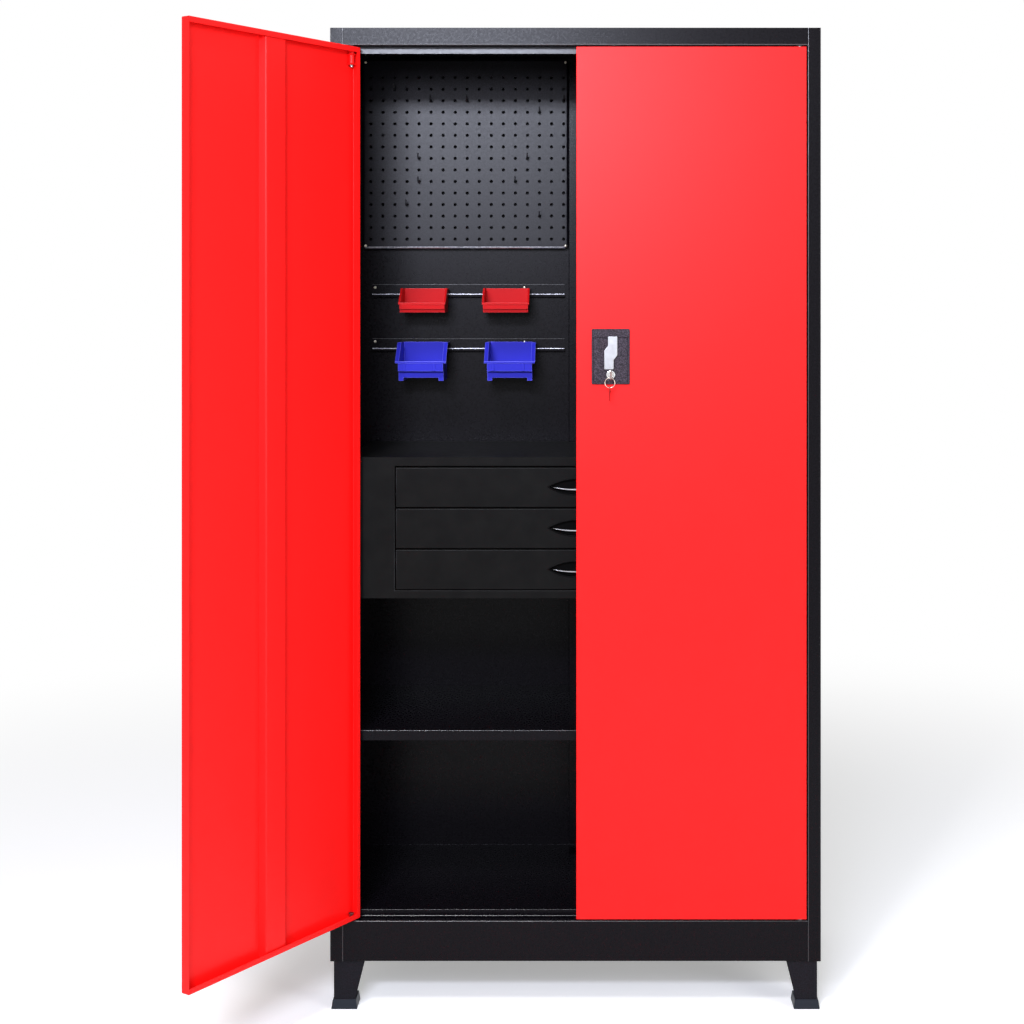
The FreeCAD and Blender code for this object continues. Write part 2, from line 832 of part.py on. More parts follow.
def lower_shelf():
    """A tray upside down: four edges turned down, the front one hemmed under."""
    body = new_body("lower_shelf")
    side = "inner_side - fit"
    shelf_front = "front + shelf_setback"
    shelf_back = "back_face - fit"
    lip_bottom = "shelf_top - shelf_lip"
    section = [
        (f"-({side})", lip_bottom),
        (f"-({side}) + sheet", lip_bottom),
        (f"-({side}) + sheet", "shelf_top - sheet"),
        (f"{side} - sheet", "shelf_top - sheet"),
        (f"{side} - sheet", lip_bottom),
        (side, lip_bottom),
        (side, "shelf_top"),
        (f"-({side})", "shelf_top"),
    ]
    extrude(body, "y", shelf_front, shelf_back, section)
    front_lip = [
        (shelf_front, lip_bottom),
        (f"{shelf_front} + shelf_hem", lip_bottom),
        (f"{shelf_front} + shelf_hem", f"{lip_bottom} + sheet"),
        (f"{shelf_front} + sheet", f"{lip_bottom} + sheet"),
        (f"{shelf_front} + sheet", "shelf_top"),
        (shelf_front, "shelf_top"),
    ]
    rear_lip = box(f"{shelf_back} - sheet", shelf_back, lip_bottom, "shelf_top")
    for lip in (front_lip, rear_lip):
        extrude(body, "x", f"-({side})", side, lip)
    # The shelf is notched where the back post passes behind it.
    notch = box("-(post_width / 2 + fit)", "post_width / 2 + fit", "peg_face - fit", "back")
    cut(body, "z", f"{lip_bottom} - sheet", "shelf_top + sheet", notch)


def shelf_clips():
    """Four angle clips on the side panels that carry the shelf."""
    body = new_body("shelf_clips")
    top = "shelf_top - shelf_lip"
    for _, side in SIDES:
        section = flip(side, [
            ("inner_side - clip_reach", f"{top} - sheet"),
            ("inner_side - sheet", f"{top} - sheet"),
            ("inner_side - sheet", f"{top} - clip_height"),
            ("inner_side", f"{top} - clip_height"),
            ("inner_side", top),
            ("inner_side - clip_reach", top),
        ])
        for middle in ("front + clip_inset", "back - clip_inset"):
            extrude(body, "y", f"{middle} - clip_width / 2", f"{middle} + clip_width / 2", section)


def chest_casing():
    """The wrap of the drawer chest, closed at the back."""
    body = new_body("chest_casing")
    outer = box("-chest_side", "chest_side", "chest_bottom", "chest_top")
    inner = box("-chest_side + sheet", "chest_side - sheet", "chest_bottom + sheet", "chest_top - sheet")
    extrude(body, "y", "chest_front + sheet", "casing_back", outer, inner)
    extrude(body, "y", "casing_back", "casing_back + sheet", outer)


def chest_front_frame():
    """The front of the chest: a wide frame whose opening has returns beside the drawers."""
    body = new_body("chest_front_frame")
    low = "drawer_base - drawer_gap"
    high = "drawer_base + drawer_stack"
    outer = box("-chest_side", "chest_side", "chest_bottom", "chest_top")
    opening = box("-frame_side", "frame_side", low, high)
    extrude(body, "y", "chest_front", "chest_front + sheet", outer, opening)
    sleeve = box("-(frame_side + sheet)", "frame_side + sheet", f"{low} - sheet", f"{high} + sheet")
    extrude(body, "y", "chest_front", "chest_front + frame_return", sleeve, opening)


def drawer_middle(number):
    return f"(drawer_base + {number} * drawer_pitch + drawer_pitch / 2)"


def drawer_runners():
    """Two upright channels inside the casing, each with three runners open towards the drawers."""
    body = new_body("drawer_runners")
    bottom = "chest_bottom + sheet"
    top = "chest_top - sheet"
    for _, side in SIDES:
        upright = flip(side, [
            ("guide_face", bottom),
            ("guide_face + guide_flange", bottom),
            ("guide_face + guide_flange", f"{bottom} + sheet"),
            ("guide_face + sheet", f"{bottom} + sheet"),
            ("guide_face + sheet", f"{top} - sheet"),
            ("guide_face + guide_flange", f"{top} - sheet"),
            ("guide_face + guide_flange", top),
            ("guide_face", top),
        ])
        extrude(body, "y", "chest_front + frame_return + fit", "casing_back - fit", upright)
        for number in range(len(DRAWERS)):
            low = f"{drawer_middle(number)} - runner_height / 2"
            high = f"{drawer_middle(number)} + runner_height / 2"
            mouth = "tray_side + runner_mouth_gap"
            runner = flip(side, [
                (mouth, low),
                ("guide_face", low),
                ("guide_face", high),
                (mouth, high),
                (mouth, f"{high} - sheet"),
                ("guide_face - sheet", f"{high} - sheet"),
                ("guide_face - sheet", f"{low} + sheet"),
                (mouth, f"{low} + sheet"),
            ])
            extrude(body, "y", "runner_front", "runner_back", runner)


def chest_support_angles():
    """Two angles on the side panels that the chest rests on."""
    body = new_body("chest_support_angles")
    for _, side in SIDES:
        section = flip(side, [
            ("inner_side - support_reach", "chest_bottom - sheet"),
            ("inner_side - sheet", "chest_bottom - sheet"),
            ("inner_side - sheet", "chest_bottom - support_height"),
            ("inner_side", "chest_bottom - support_height"),
            ("inner_side", "chest_bottom"),
            ("inner_side - support_reach", "chest_bottom"),
        ])
        extrude(body, "y", "chest_front + support_inset", "back_face - support_inset", section)


def leaf(middle, shrink):
    """The pointed outline of a pull: two equal arcs, made smaller all round by a distance."""
    radius = f"(pull_radius - ({shrink}))"
    tip = f"sqrt({radius} ^ 2 - pull_centre ^ 2)"
    return [(f"-{tip}", middle, radius), (tip, middle, radius)]


def drawer(number, name):
    """A folded front, a tray with a rail on each side, a recessed pull cup and its bar."""
    low = f"drawer_base + {number} * drawer_pitch"
    high = f"drawer_base + {number + 1} * drawer_pitch - 2 * drawer_gap"
    middle = drawer_middle(number)

    front_body = new_body(f"{name}_front")
    face = box("-drawer_side", "drawer_side", low, high)
    inside = box("-drawer_side + drawer_sheet", "drawer_side - drawer_sheet",
                 f"{low} + drawer_sheet", f"{high} - drawer_sheet")
    extrude(front_body, "y", "chest_front", "chest_front + drawer_sheet", face, leaf(middle, "0"))
    extrude(front_body, "y", "chest_front", "tray_front", face, inside)

    tray = new_body(f"{name}_tray")
    tray_low = f"{low} + tray_rise"
    tray_high = f"{high} - tray_drop"
    extrude(tray, "z", tray_low, tray_high, box("-tray_side", "tray_side", "tray_front", "tray_back"))
    cut(tray, "z", f"{tray_low} + drawer_sheet", tray_high,
        box("-tray_side + drawer_sheet", "tray_side - drawer_sheet",
            "tray_front + drawer_sheet", "tray_back - drawer_sheet"))
    rail_low = f"{middle} - runner_height / 2 + sheet + fit"
    rail_high = f"{middle} + runner_height / 2 - sheet - fit"
    rail_end = "guide_face - sheet - fit"
    for _, side in SIDES:
        section = flip(side, [
            ("tray_side", rail_low),
            (rail_end, rail_low),
            (rail_end, f"{rail_low} + drawer_sheet"),
            ("tray_side + drawer_sheet", f"{rail_low} + drawer_sheet"),
            ("tray_side + drawer_sheet", f"{rail_high} - drawer_sheet"),
            (rail_end, f"{rail_high} - drawer_sheet"),
            (rail_end, rail_high),
            ("tray_side", rail_high),
        ])
        extrude(tray, "y", "runner_front", "runner_back", section)

    cup = new_body(f"{name}_pull_cup")
    cup_back = "tray_front - pull_back_gap"
    extrude(cup, "y", "chest_front", cup_back, leaf(middle, "pull_slack"))
    cut(cup, "y", "chest_front", f"{cup_back} - pull_floor", leaf(middle, "pull_slack + pull_wall"))

    bar = new_body(f"{name}_pull_bar")
    shrink = "pull_slack + pull_wall"
    lower = f"(pull_radius - ({shrink}))"
    tip = f"sqrt({lower} ^ 2 - pull_centre ^ 2)"
    sag = f"({lower} - pull_centre - pull_bar_height)"
    upper = f"(({tip} ^ 2 + {sag} ^ 2) / (2 * {sag}))"
    crescent = [(f"-{tip}", middle, lower), (tip, middle, f"-{upper}")]
    extrude(bar, "y", "chest_front - pull_bar_proud", "chest_front - pull_bar_proud + pull_bar_depth",
            crescent)


# ---- Doors ------------------------------------------------------------------------------------

def swing(body):
    """Turn a piece of the left door from closed to open about its hinge axis."""
    axis = vector("-hinge_x", "hinge_y", "0")
    turn = FreeCAD.Rotation(FreeCAD.Vector(0, 0, 1), -value("left_door_angle"))
    body.Placement = FreeCAD.Placement(FreeCAD.Vector(), turn, axis)


def door(name, side):
    """A folded pan with lips, its stiffener, and the brackets and pins that it hangs on."""
    panel = new_body(f"{name}_door_panel")
    plan = [
        ("door_near", "front"),
        ("door_far", "front"),
        ("door_far", "door_back"),
        ("door_far - door_lip", "door_back"),
        ("door_far - door_lip", "door_back - door_sheet"),
        ("door_far - door_sheet", "door_back - door_sheet"),
        ("door_far - door_sheet", "door_skin"),
        ("door_near + door_sheet", "door_skin"),
        ("door_near + door_sheet", "door_back"),
        ("door_near", "door_back"),
    ]
    extrude(panel, "z", "door_bottom", "door_top", flip(side, plan))
    low, high = outward(side, "door_near", "door_far")
    for edge, inward in (("door_top", -1), ("door_bottom", 1)):
        section = [
            ("front", edge),
            ("door_back", edge),
            ("door_back", f"{edge} + {inward} * door_lip"),
            ("door_back - door_sheet", f"{edge} + {inward} * door_lip"),
            ("door_back - door_sheet", f"{edge} + {inward} * door_sheet"),
            ("front", f"{edge} + {inward} * door_sheet"),
        ]
        extrude(panel, "x", low, high, section)
    pin_place = (f"{side} * hinge_x", "hinge_y")
    for edge in ("door_top", "door_bottom"):
        cut(panel, "z", f"{edge} - door_sheet", f"{edge} + door_sheet", (*pin_place, "pin_hole"))

    stiffener = new_body(f"{name}_door_stiffener")
    left = "stiffener_offset - stiffener_width / 2"
    right = "stiffener_offset + stiffener_width / 2"
    crown = "door_skin + stiffener_depth"
    hat = [
        (left, "door_skin"),
        (f"{left} + door_sheet", "door_skin"),
        (f"{left} + stiffener_taper + door_sheet", f"{crown} - door_sheet"),
        (f"{right} - stiffener_taper - door_sheet", f"{crown} - door_sheet"),
        (f"{right} - door_sheet", "door_skin"),
        (right, "door_skin"),
        (f"{right} - stiffener_taper", crown),
        (f"{left} + stiffener_taper", crown),
    ]
    extrude(stiffener, "z", "door_bottom + door_sheet", "door_top - door_sheet", flip(side, hat))

    brackets = new_body(f"{name}_hinge_brackets")
    bracket_back = "door_far - door_sheet"
    bracket_top = "door_top - bracket_drop"
    bracket_low = f"{bracket_top} - bracket_height"
    yoke = [
        (bracket_back, bracket_low),
        (bracket_back, bracket_top),
        (f"{bracket_back} - bracket_reach", bracket_top),
        (f"{bracket_back} - bracket_reach", f"{bracket_top} - bracket_sheet"),
        (f"{bracket_back} - bracket_sheet", f"{bracket_top} - bracket_sheet"),
        (f"{bracket_back} - bracket_sheet", f"{bracket_low} + bracket_sheet"),
        (f"{bracket_back} - bracket_reach", f"{bracket_low} + bracket_sheet"),
        (f"{bracket_back} - bracket_reach", bracket_low),
    ]
    extrude(brackets, "y", "door_skin", "door_skin + bracket_depth", flip(side, yoke))
    plate = box(f"{bracket_back} - bracket_reach", bracket_back,
                "door_skin", "door_skin + bracket_depth")
    extrude(brackets, "z", "door_bottom + door_sheet", "door_bottom + door_sheet + pivot_plate",
            flip(side, plate))
    cut(brackets, "z", "door_bottom", "door_top", (*pin_place, "pin_hole"))

    pins = new_body(f"{name}_hinge_pins")
    extrude(pins, "z", "door_top - pin_tail", "header_bottom + pin_overlap",
            (*pin_place, "pin_radius"))
    head = "door_bottom + pin_shank"
    extrude(pins, "z", "plinth_top - pin_overlap", head, (*pin_place, "pin_radius"))
    extrude(pins, "z", head, f"{head} + pin_head", (*pin_place, "pin_head_radius"))
    extrude(pins, "z", "door_bottom - collar_height", "door_bottom", (*pin_place, "collar_radius"))
    return panel, stiffener, brackets, pins


def hinge_bushes():
    """Four flanged bushes, two in the header and two in the plinth."""
    body = new_body("hinge_bushes")
    for _, side in SIDES:
        place = (f"{side} * hinge_x", "hinge_y")
        bore = (*place, "pin_hole")
        sleeve = (*place, "pin_hole + bush_wall")
        flange = (*place, "bush_flange_radius")
        extrude(body, "z", "header_bottom - bush_flange", "header_bottom", flange, bore)
        extrude(body, "z", "header_bottom", "header_bottom + bush_length", sleeve, bore)
        extrude(body, "z", "plinth_top", "plinth_top + bush_flange", flange, bore)
        extrude(body, "z", "plinth_top - bush_length", "plinth_top", sleeve, bore)


# ---- Lock on the right door -------------------------------------------------------------------

AXIS_Y = FreeCAD.Vector(0, 1, 0)
SPINDLE = ("lock_offset", "lock_height")
CYLINDER = ("lock_offset", "cylinder_z")


def lock_plate():
    """The plate outside the door: a flat field, a rim round it and a raised band on top."""
    body = new_body("lock_escutcheon")
    left = "lock_offset - plate_width / 2"
    right = "lock_offset + plate_width / 2"
    high = "lock_height + plate_top"
    low = f"{high} - plate_height"
    outer = box(left, right, low, high)
    extrude(body, "y", "plate_face", "front", outer)
    band = box(left, right, f"{high} - plate_band", high)
    extrude(body, "y", "band_face", "plate_face", band)
    field = box(f"{left} + plate_rim", f"{right} - plate_rim", f"{low} + plate_rim",
                f"{high} - plate_band")
    below_band = box(left, right, low, f"{high} - plate_band")
    extrude(body, "y", "plate_face - plate_rim_height", "plate_face", below_band)
    cut(body, "y", "plate_face - plate_rim_height", "plate_face", field)
    x_ends = (value(left), value(right))
    z_ends = (value(low), value(high))

    def is_corner(edge):
        middle = edge.CenterOfMass
        at_side = min(abs(middle.x - x) for x in x_ends) < CLOSE
        at_end = min(abs(middle.z - z) for z in z_ends) < CLOSE
        return runs_along(edge, AXIS_Y) and at_side and at_end

    round_edges(body, "plate_corner", is_corner)
    cut(body, "y", "band_face", "front", (*SPINDLE, "spindle_radius + pin_running"),
        (*CYLINDER, "cylinder_radius + cylinder_hole_slack"))


def lock_housing():
    """The block inside the door that holds the spindle and the cylinder."""
    body = new_body("lock_housing")
    block = box("lock_offset - housing_width / 2", "lock_offset + housing_width / 2",
                "lock_height + plate_top - plate_height + plate_rim",
                "lock_height + plate_top - plate_height + plate_rim + housing_height")
    extrude(body, "y", "door_skin", "housing_back", block)
    round_edges(body, "plate_corner", lambda edge: runs_along(edge, AXIS_Y))
    cut(body, "y", "door_skin", "housing_back", (*SPINDLE, "spindle_radius + pin_running"),
        (*CYLINDER, "cylinder_radius + cylinder_hole_slack"))


def lock_handle():
    """A lever with two offset arms, cast in one with its spindle."""
    body = new_body("lock_handle")
    arms = [
        ("-handle_inner", "handle_reach"),
        ("-handle_inner", "handle_notch"),
        ("-handle_outer", "handle_shoulder"),
        ("-handle_outer", "-handle_reach"),
        ("handle_inner", "-handle_reach"),
        ("handle_inner", "-handle_notch"),
        ("handle_outer", "-handle_shoulder"),
        ("handle_outer", "handle_reach"),
    ]
    lever = [(f"lock_offset + {x}", f"lock_height + {z}") for x, z in arms]
    extrude(body, "y", "handle_front", "handle_back", lever)
    front_level = value("handle_front")
    round_edges(body, "handle_edge",
                lambda edge: abs(edge.BoundBox.YMax - front_level) < CLOSE)
    extrude(body, "y", "handle_back", "housing_back", (*SPINDLE, "spindle_radius"))
    extrude(body, "y", "housing_back", "cam_back", (*SPINDLE, "spindle_end_radius"))


def lock_cam():
    """A disc on the spindle with two pins, half a turn apart, that move the rods."""
    body = new_body("lock_cam")
    extrude(body, "y", "cam_front", "cam_back", (*SPINDLE, "cam_radius"),
            (*SPINDLE, "spindle_end_radius"))
    for shift in (1, -1):
        place = (f"lock_offset + {shift} * cam_shift", f"lock_height - {shift} * cam_shift")
        extrude(body, "y", "cam_back", "cam_back + cam_pin_length", (*place, "cam_pin_radius"))


def lock_rod(name, shift, far_end):
    """A flat rod with a cross slot for its cam pin, from the cam to the edge of the door."""
    body = new_body(name)
    middle = f"(lock_offset + {shift} * rod_shift)"
    pin_level = f"(lock_height - {shift} * cam_shift)"
    near_end = f"{pin_level} - {shift} * rod_foot"
    low, high = (near_end, far_end) if shift > 0 else (far_end, near_end)
    bar = box(f"{middle} - rod_width / 2", f"{middle} + rod_width / 2", low, high)
    inner = f"lock_offset + {shift} * (cam_shift - cam_pin_radius - slot_slack)"
    outer = f"lock_offset + {shift} * (cam_throw + cam_pin_radius + slot_slack)"
    reach = "cam_pin_radius + slot_slack"
    slot = [
        (inner, f"{pin_level} - ({reach})"),
        (outer, f"{pin_level} - ({reach})"),
        (outer, f"{pin_level} + {reach}"),
        (inner, f"{pin_level} + {reach}"),
    ]
    extrude(body, "y", "rod_front", "rod_back", bar, slot)


def rod_window(shift):
    """The opening that a lock rod slides through, larger than the rod by its slack."""
    middle = f"(lock_offset + {shift} * rod_shift)"
    return box(f"{middle} - rod_width / 2 - guide_slack", f"{middle} + rod_width / 2 + guide_slack",
               "rod_front - guide_slack", "rod_back + guide_slack")


def rod_guides():
    """Four blocks on the inside of the door, each with a window for its rod."""
    body = new_body("rod_guides")
    for shift, edge in ((1, "door_top"), (-1, "door_bottom")):
        middle = f"(lock_offset + {shift} * rod_shift)"
        block = box(f"{middle} - guide_width / 2", f"{middle} + guide_width / 2",
                    "door_skin", "rod_back + guide_slack + door_sheet")
        window = rod_window(shift)
        for level in (f"lock_height + {shift} * guide_from_lock", f"{edge} - {shift} * guide_from_end"):
            extrude(body, "z", f"{level} - guide_height / 2", f"{level} + guide_height / 2",
                    block, window)


def lock_cylinder():
    body = new_body("lock_cylinder")
    extrude(body, "y", "band_face", "band_face + cylinder_length", (*CYLINDER, "cylinder_radius"),
            (*CYLINDER, "plug_radius + pin_running"))


def key_plug():
    """The turning core of the cylinder, with its keyway."""
    body = new_body("key_plug")
    face = "band_face - plug_proud"
    extrude(body, "y", face, "band_face + cylinder_length - plug_back_gap",
            (*CYLINDER, "plug_radius"))
    keyway = box("lock_offset - key_thickness / 2 - key_blade_slack",
                 "lock_offset + key_thickness / 2 + key_blade_slack",
                 "cylinder_z - key_blade / 2 - key_blade_slack",
                 "cylinder_z + key_blade / 2 + key_blade_slack")
    cut(body, "y", face, "band_face + key_insertion", keyway)


def door_key():
    """The key in the plug: a blade, and a round bow with a hole for the ring."""
    body = new_body("door_key")
    low = "lock_offset - key_thickness / 2"
    high = "lock_offset + key_thickness / 2"
    blade = box("key_bow_y", "band_face + key_insertion - key_blade_slack",
                "cylinder_z - key_blade / 2", "cylinder_z + key_blade / 2")
    extrude(body, "x", low, high, blade)
    extrude(body, "x", low, high, ("key_bow_y", "cylinder_z", "key_bow_radius"))
    cut(body, "x", low, high, ("key_hole_y", "key_hole_z", "key_hole_radius"))


def key_ring():
    """A flat ring through the hole of the key, with a square wire."""
    body = new_body("key_ring")
    extrude(body, "y", "key_hole_y - ring_wire", "key_hole_y + ring_wire",
            ("ring_x", "ring_z", "ring_radius + ring_wire"),
            ("ring_x", "ring_z", "ring_radius - ring_wire"))


def spare_key():
    body = new_body("spare_key")
    low = "ring_x - key_thickness / 2"
    high = "ring_x + key_thickness / 2"
    blade_low = "spare_bow_z - spare_bow_radius - spare_blade_length"
    blade = box("key_hole_y - spare_blade / 2", "key_hole_y + spare_blade / 2", blade_low, "spare_bow_z")
    extrude(body, "x", low, high, blade)
    extrude(body, "x", low, high, ("key_hole_y", "spare_bow_z", "spare_bow_radius"))
    cut(body, "x", low, high, ("key_hole_y", "spare_hole_z", "spare_hole_radius"))


def door_cuts_for_lock(panel):
    """Holes in the right door for the spindle, the cylinder and the two rods."""
    cut(panel, "y", "front", "door_skin", (*SPINDLE, "spindle_radius + fit"),
        (*CYLINDER, "cylinder_radius + fit"))
    for shift, edge in ((1, "door_top"), (-1, "door_bottom")):
        cut(panel, "z", f"{edge} - door_sheet", f"{edge} + door_sheet", rod_window(shift))


# ---- Bins -------------------------------------------------------------------------------------

def stacking_feet(body, left, right, front_edge, rear_edge, low):
    """Two feet under a bin, along its sides, that stand in the rim of the bin below."""
    foot = box(front_edge, rear_edge, f"{low} - blue_foot_height", low)
    extrude(body, "x", left, f"{left} + blue_foot_width", foot)
    extrude(body, "x", f"{right} - blue_foot_width", right, foot)


def storage_bin(name, colour, centre, lip_top):
    """An open bin: a rim round its mouth, a short front plate over a set back toe, a rail hook."""
    body = new_body(name)
    high = f"({lip_top} + {colour}_bin_rise)"
    low = f"({high} - {colour}_bin_height)"
    lip = f"({low} + {colour}_bin_lip)"
    chin = f"({low} + {colour}_bin_chin)"
    rear = "(rail_front - bin_rail_gap)"
    nose = f"({rear} - {colour}_bin_depth)"
    shoulder = f"({nose} + {colour}_bin_shoulder)"
    toe = f"({nose} + {colour}_bin_toe)"
    side_outline = [
        (rear, low),
        (rear, high),
        (shoulder, high),
        (nose, lip),
        (nose, chin),
        (toe, chin),
        (toe, low),
    ]
    left = f"-{centre} - {colour}_bin_width / 2"
    right = f"-{centre} + {colour}_bin_width / 2"
    extrude(body, "x", left, right, side_outline)
    hollow = [
        (f"{rear} - bin_wall", f"{low} + bin_wall"),
        (f"{rear} - bin_wall", f"{high} + bin_wall"),
        (f"{shoulder} - bin_wall", f"{high} + bin_wall"),
        (f"{nose} - bin_wall", f"{lip} + 2 * bin_wall"),
        (f"{nose} + bin_wall", f"{lip}"),
        (f"{nose} + bin_wall", f"{chin} + bin_wall"),
        (f"{toe} + bin_wall", f"{chin} + bin_wall"),
        (f"{toe} + bin_wall", f"{low} + bin_wall"),
    ]
    cut(body, "x", f"{left} + bin_wall", f"{right} - bin_wall", hollow)
    rim = [
        (rear, f"{high} - 2 * bin_wall"),
        (rear, high),
        (shoulder, high),
        (nose, lip),
        (nose, f"{lip} - 2 * bin_wall"),
        (shoulder, f"{high} - 2 * bin_wall"),
    ]
    rim_left = f"{left} - {colour}_bin_rim"
    rim_right = f"{right} + {colour}_bin_rim"
    extrude(body, "x", rim_left, left, rim)
    extrude(body, "x", right, rim_right, rim)
    band = box(f"{nose} - bin_lip_band", nose, f"{lip} - 2 * bin_wall", lip)
    extrude(body, "x", rim_left, rim_right, band)
    hook = [
        (rear, f"{lip_top} + bin_rail_gap"),
        ("rail_front + sheet + bin_rail_gap", f"{lip_top} + bin_rail_gap"),
        ("rail_front + sheet + bin_rail_gap", f"{lip_top} - bin_hook_drop"),
        ("rail_front + sheet + bin_rail_gap + bin_hook", f"{lip_top} - bin_hook_drop"),
        ("rail_front + sheet + bin_rail_gap + bin_hook", f"{lip_top} + bin_rail_gap + bin_hook"),
        (rear, f"{lip_top} + bin_rail_gap + bin_hook"),
    ]
    extrude(body, "x", left, right, hook)
    if colour == "blue":
        stacking_feet(body, left, right, toe, rear, low)


# ---- Assembly ---------------------------------------------------------------------------------

for side_name, side_sign in SIDES:
    side_panel(side_name, side_sign)
    back_panel(side_name, side_sign)
    pegboard(side_name, side_sign)
top_panel()
header_rail()
floor_panel()
front_plinth()
rear_plinth()
back_post()
corner_legs()
foot_caps()
hinge_bushes()
pegboard_hooks()
bin_rails()
panel_screws()
lower_shelf()
shelf_clips()
chest_casing()
chest_front_frame()
drawer_runners()
chest_support_angles()
for drawer_number, drawer_name in enumerate(DRAWERS):
    drawer(drawer_number, drawer_name)

left_door_pieces = door("left", -1)
right_door_pieces = door("right", 1)
door_cuts_for_lock(right_door_pieces[0])
lock_plate()
lock_housing()
lock_handle()
lock_cam()
lock_rod("upper_lock_rod", 1, "door_top + rod_proud")
lock_rod("lower_lock_rod", -1, "door_bottom - rod_proud")
rod_guides()
lock_cylinder()
key_plug()
door_key()
key_ring()
spare_key()
storage_bin("red_bin_outer", "red", "red_outer_centre", "upper_lip_top")
storage_bin("red_bin_inner", "red", "red_inner_centre", "upper_lip_top")
storage_bin("blue_bin_outer", "blue", "blue_outer_centre", "lower_lip_top")
storage_bin("blue_bin_inner", "blue", "blue_inner_centre", "lower_lip_top")

doc.recompute()
for piece in left_door_pieces:
    swing(piece)
doc.recompute()

# ---- Checks and files -------------------------------------------------------------------------

for item in doc.Objects:
    if "Invalid" in item.State or "Error" in item.State:
        raise RuntimeError(f"{item.Label} failed: {item.State}")
os.makedirs("parts", exist_ok=True)
for node in nodes:
    if node.Shape.isNull() or not node.Shape.isValid():
        raise RuntimeError(f"{node.Label} has no valid shape")
    node.Shape.exportStep(f"parts/{node.Label}.step")
print(f"{len(nodes)} sub-parts written")
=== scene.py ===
"""Looks of the two-door tool cabinet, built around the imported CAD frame.

Metres, +Z up, front towards -Y.
"""

import json
import math

import bmesh
import bpy
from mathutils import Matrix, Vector


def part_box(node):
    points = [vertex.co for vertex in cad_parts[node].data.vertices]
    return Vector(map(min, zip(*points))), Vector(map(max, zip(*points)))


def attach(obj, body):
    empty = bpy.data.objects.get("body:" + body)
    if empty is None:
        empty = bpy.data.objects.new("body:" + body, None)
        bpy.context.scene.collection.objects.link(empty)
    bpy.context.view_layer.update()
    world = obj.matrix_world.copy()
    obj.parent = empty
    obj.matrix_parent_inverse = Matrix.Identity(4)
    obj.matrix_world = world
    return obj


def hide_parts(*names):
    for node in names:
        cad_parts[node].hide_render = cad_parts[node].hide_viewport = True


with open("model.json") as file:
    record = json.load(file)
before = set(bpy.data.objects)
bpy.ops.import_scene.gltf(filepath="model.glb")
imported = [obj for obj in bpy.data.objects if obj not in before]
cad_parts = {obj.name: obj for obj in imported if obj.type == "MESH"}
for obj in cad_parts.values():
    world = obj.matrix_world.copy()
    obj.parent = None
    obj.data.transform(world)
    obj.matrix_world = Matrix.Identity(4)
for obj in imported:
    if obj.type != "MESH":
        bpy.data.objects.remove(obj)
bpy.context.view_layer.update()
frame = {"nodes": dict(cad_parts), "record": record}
NODES = frame["nodes"]
SLOT_OF = {part["node"]: part["material_slot"] for part in frame["record"]["subparts"]}
BODY_OF = {
    node: body
    for body, members in frame["record"]["behaviour"]["bodies"].items()
    for node in members
}
BINS = ("red_bin_outer", "red_bin_inner", "blue_bin_outer", "blue_bin_inner")
DRAWERS = ("bottom_drawer", "middle_drawer", "top_drawer")

# ---------------------------------------------------------------- sizes

MM = 0.001
WELD = 0.01 * MM  # points nearer than this are the same point
BOX_DIGITS = 5  # corners that agree to this many digits sort as equal

# The angle between two faces that counts as flat, as a fold and as a sharp edge.
FLAT_ANGLE = math.radians(1)
FOLD_ANGLE = math.radians(20)
SHARP_ANGLE = math.radians(32)

# Folded sheet. A face narrower than SHEET_FACE is the cut edge of a sheet.
SHEET = 1.2 * MM
SHEET_FACE = 2.4 * MM
SHORTEST_FOLD = 12 * MM
OUTER_FOLD = 2.0 * MM
INNER_FOLD = 0.9 * MM
FOLD_STEPS = 3

# The door stop is the part of the header rail that faces the front between these two Y; it gets a
# painted highlight.
STOP_FACE = (-0.18, -0.17)
FACES_FRONT = -0.9

# The bin rails, and the height between the lower and the upper pair.
RAIL_LIP = 8 * MM
RAIL_SPLIT = 1.26
RAIL_END_GAP = 1 * MM
RAIL_LIP_DROP = 1.1 * MM
RAIL_LIP_RADIUS = 1.3 * MM
RAIL_LIP_FLATTEN = 0.6
RAIL_FLANGE_RADIUS = 0.75 * MM

# The riser at the front of the floor, which stands on the plinth.
PLINTH_TOP = 0.163
RISER_FACE = -0.175
RISER_FOOT_LIFT = 0.5 * MM
RISER_FOOT_RADIUS = 0.8 * MM

# The pegboards' holes, counted from the cabinet's middle and from the board's foot.
PEG_SHEET = 1.0 * MM
PEG_FOLD = 4.0 * MM
PEG_FIRST_COLUMN = 24.5 * MM
PEG_COLUMN_PITCH = 24.74 * MM
PEG_COLUMNS = 17
PEG_FIRST_ROW = 19.5 * MM
PEG_ROW_PITCH = 23.7 * MM
PEG_ROWS = 15
PEG_HOLE_RADIUS = 3.0 * MM
PEG_HOLE_LIP = 0.45 * MM
PEG_HOLE_SIDES = 16

# Screw heads: SCREW_SHARE is their part of the CAD head's width, and SCREW_DOME has the
# steps of the dome as (height, radius), both as shares.
SCREW_SHARE = 0.78
SCREW_DOME = ((0, 1), (0.4, 1), (0.75, 0.86), (0.93, 0.62), (1, 0.38), (1.02, 0.2), (1.03, 0.08))
SCREW_RECESS_ROW = 3
SCREW_RECESS_WIDTH = 0.17
SCREW_RECESS_DEPTH = 0.35
HOOK_WIRE_RADIUS = 1.5 * MM
HOOK_BEND = 3.2 * MM

# The photograph's view: PIXELS_PER_METRE holds in the plane of the cabinet's front.
PHOTO_PIXELS = 1024
EYE = Vector((0, -3.3, 1.3))
PIXELS_PER_METRE = 545.4
AXIS_PIXEL = 575.5
HORIZON_PIXEL = 300.5
SENSOR = 36


# ---------------------------------------------------------------- materials


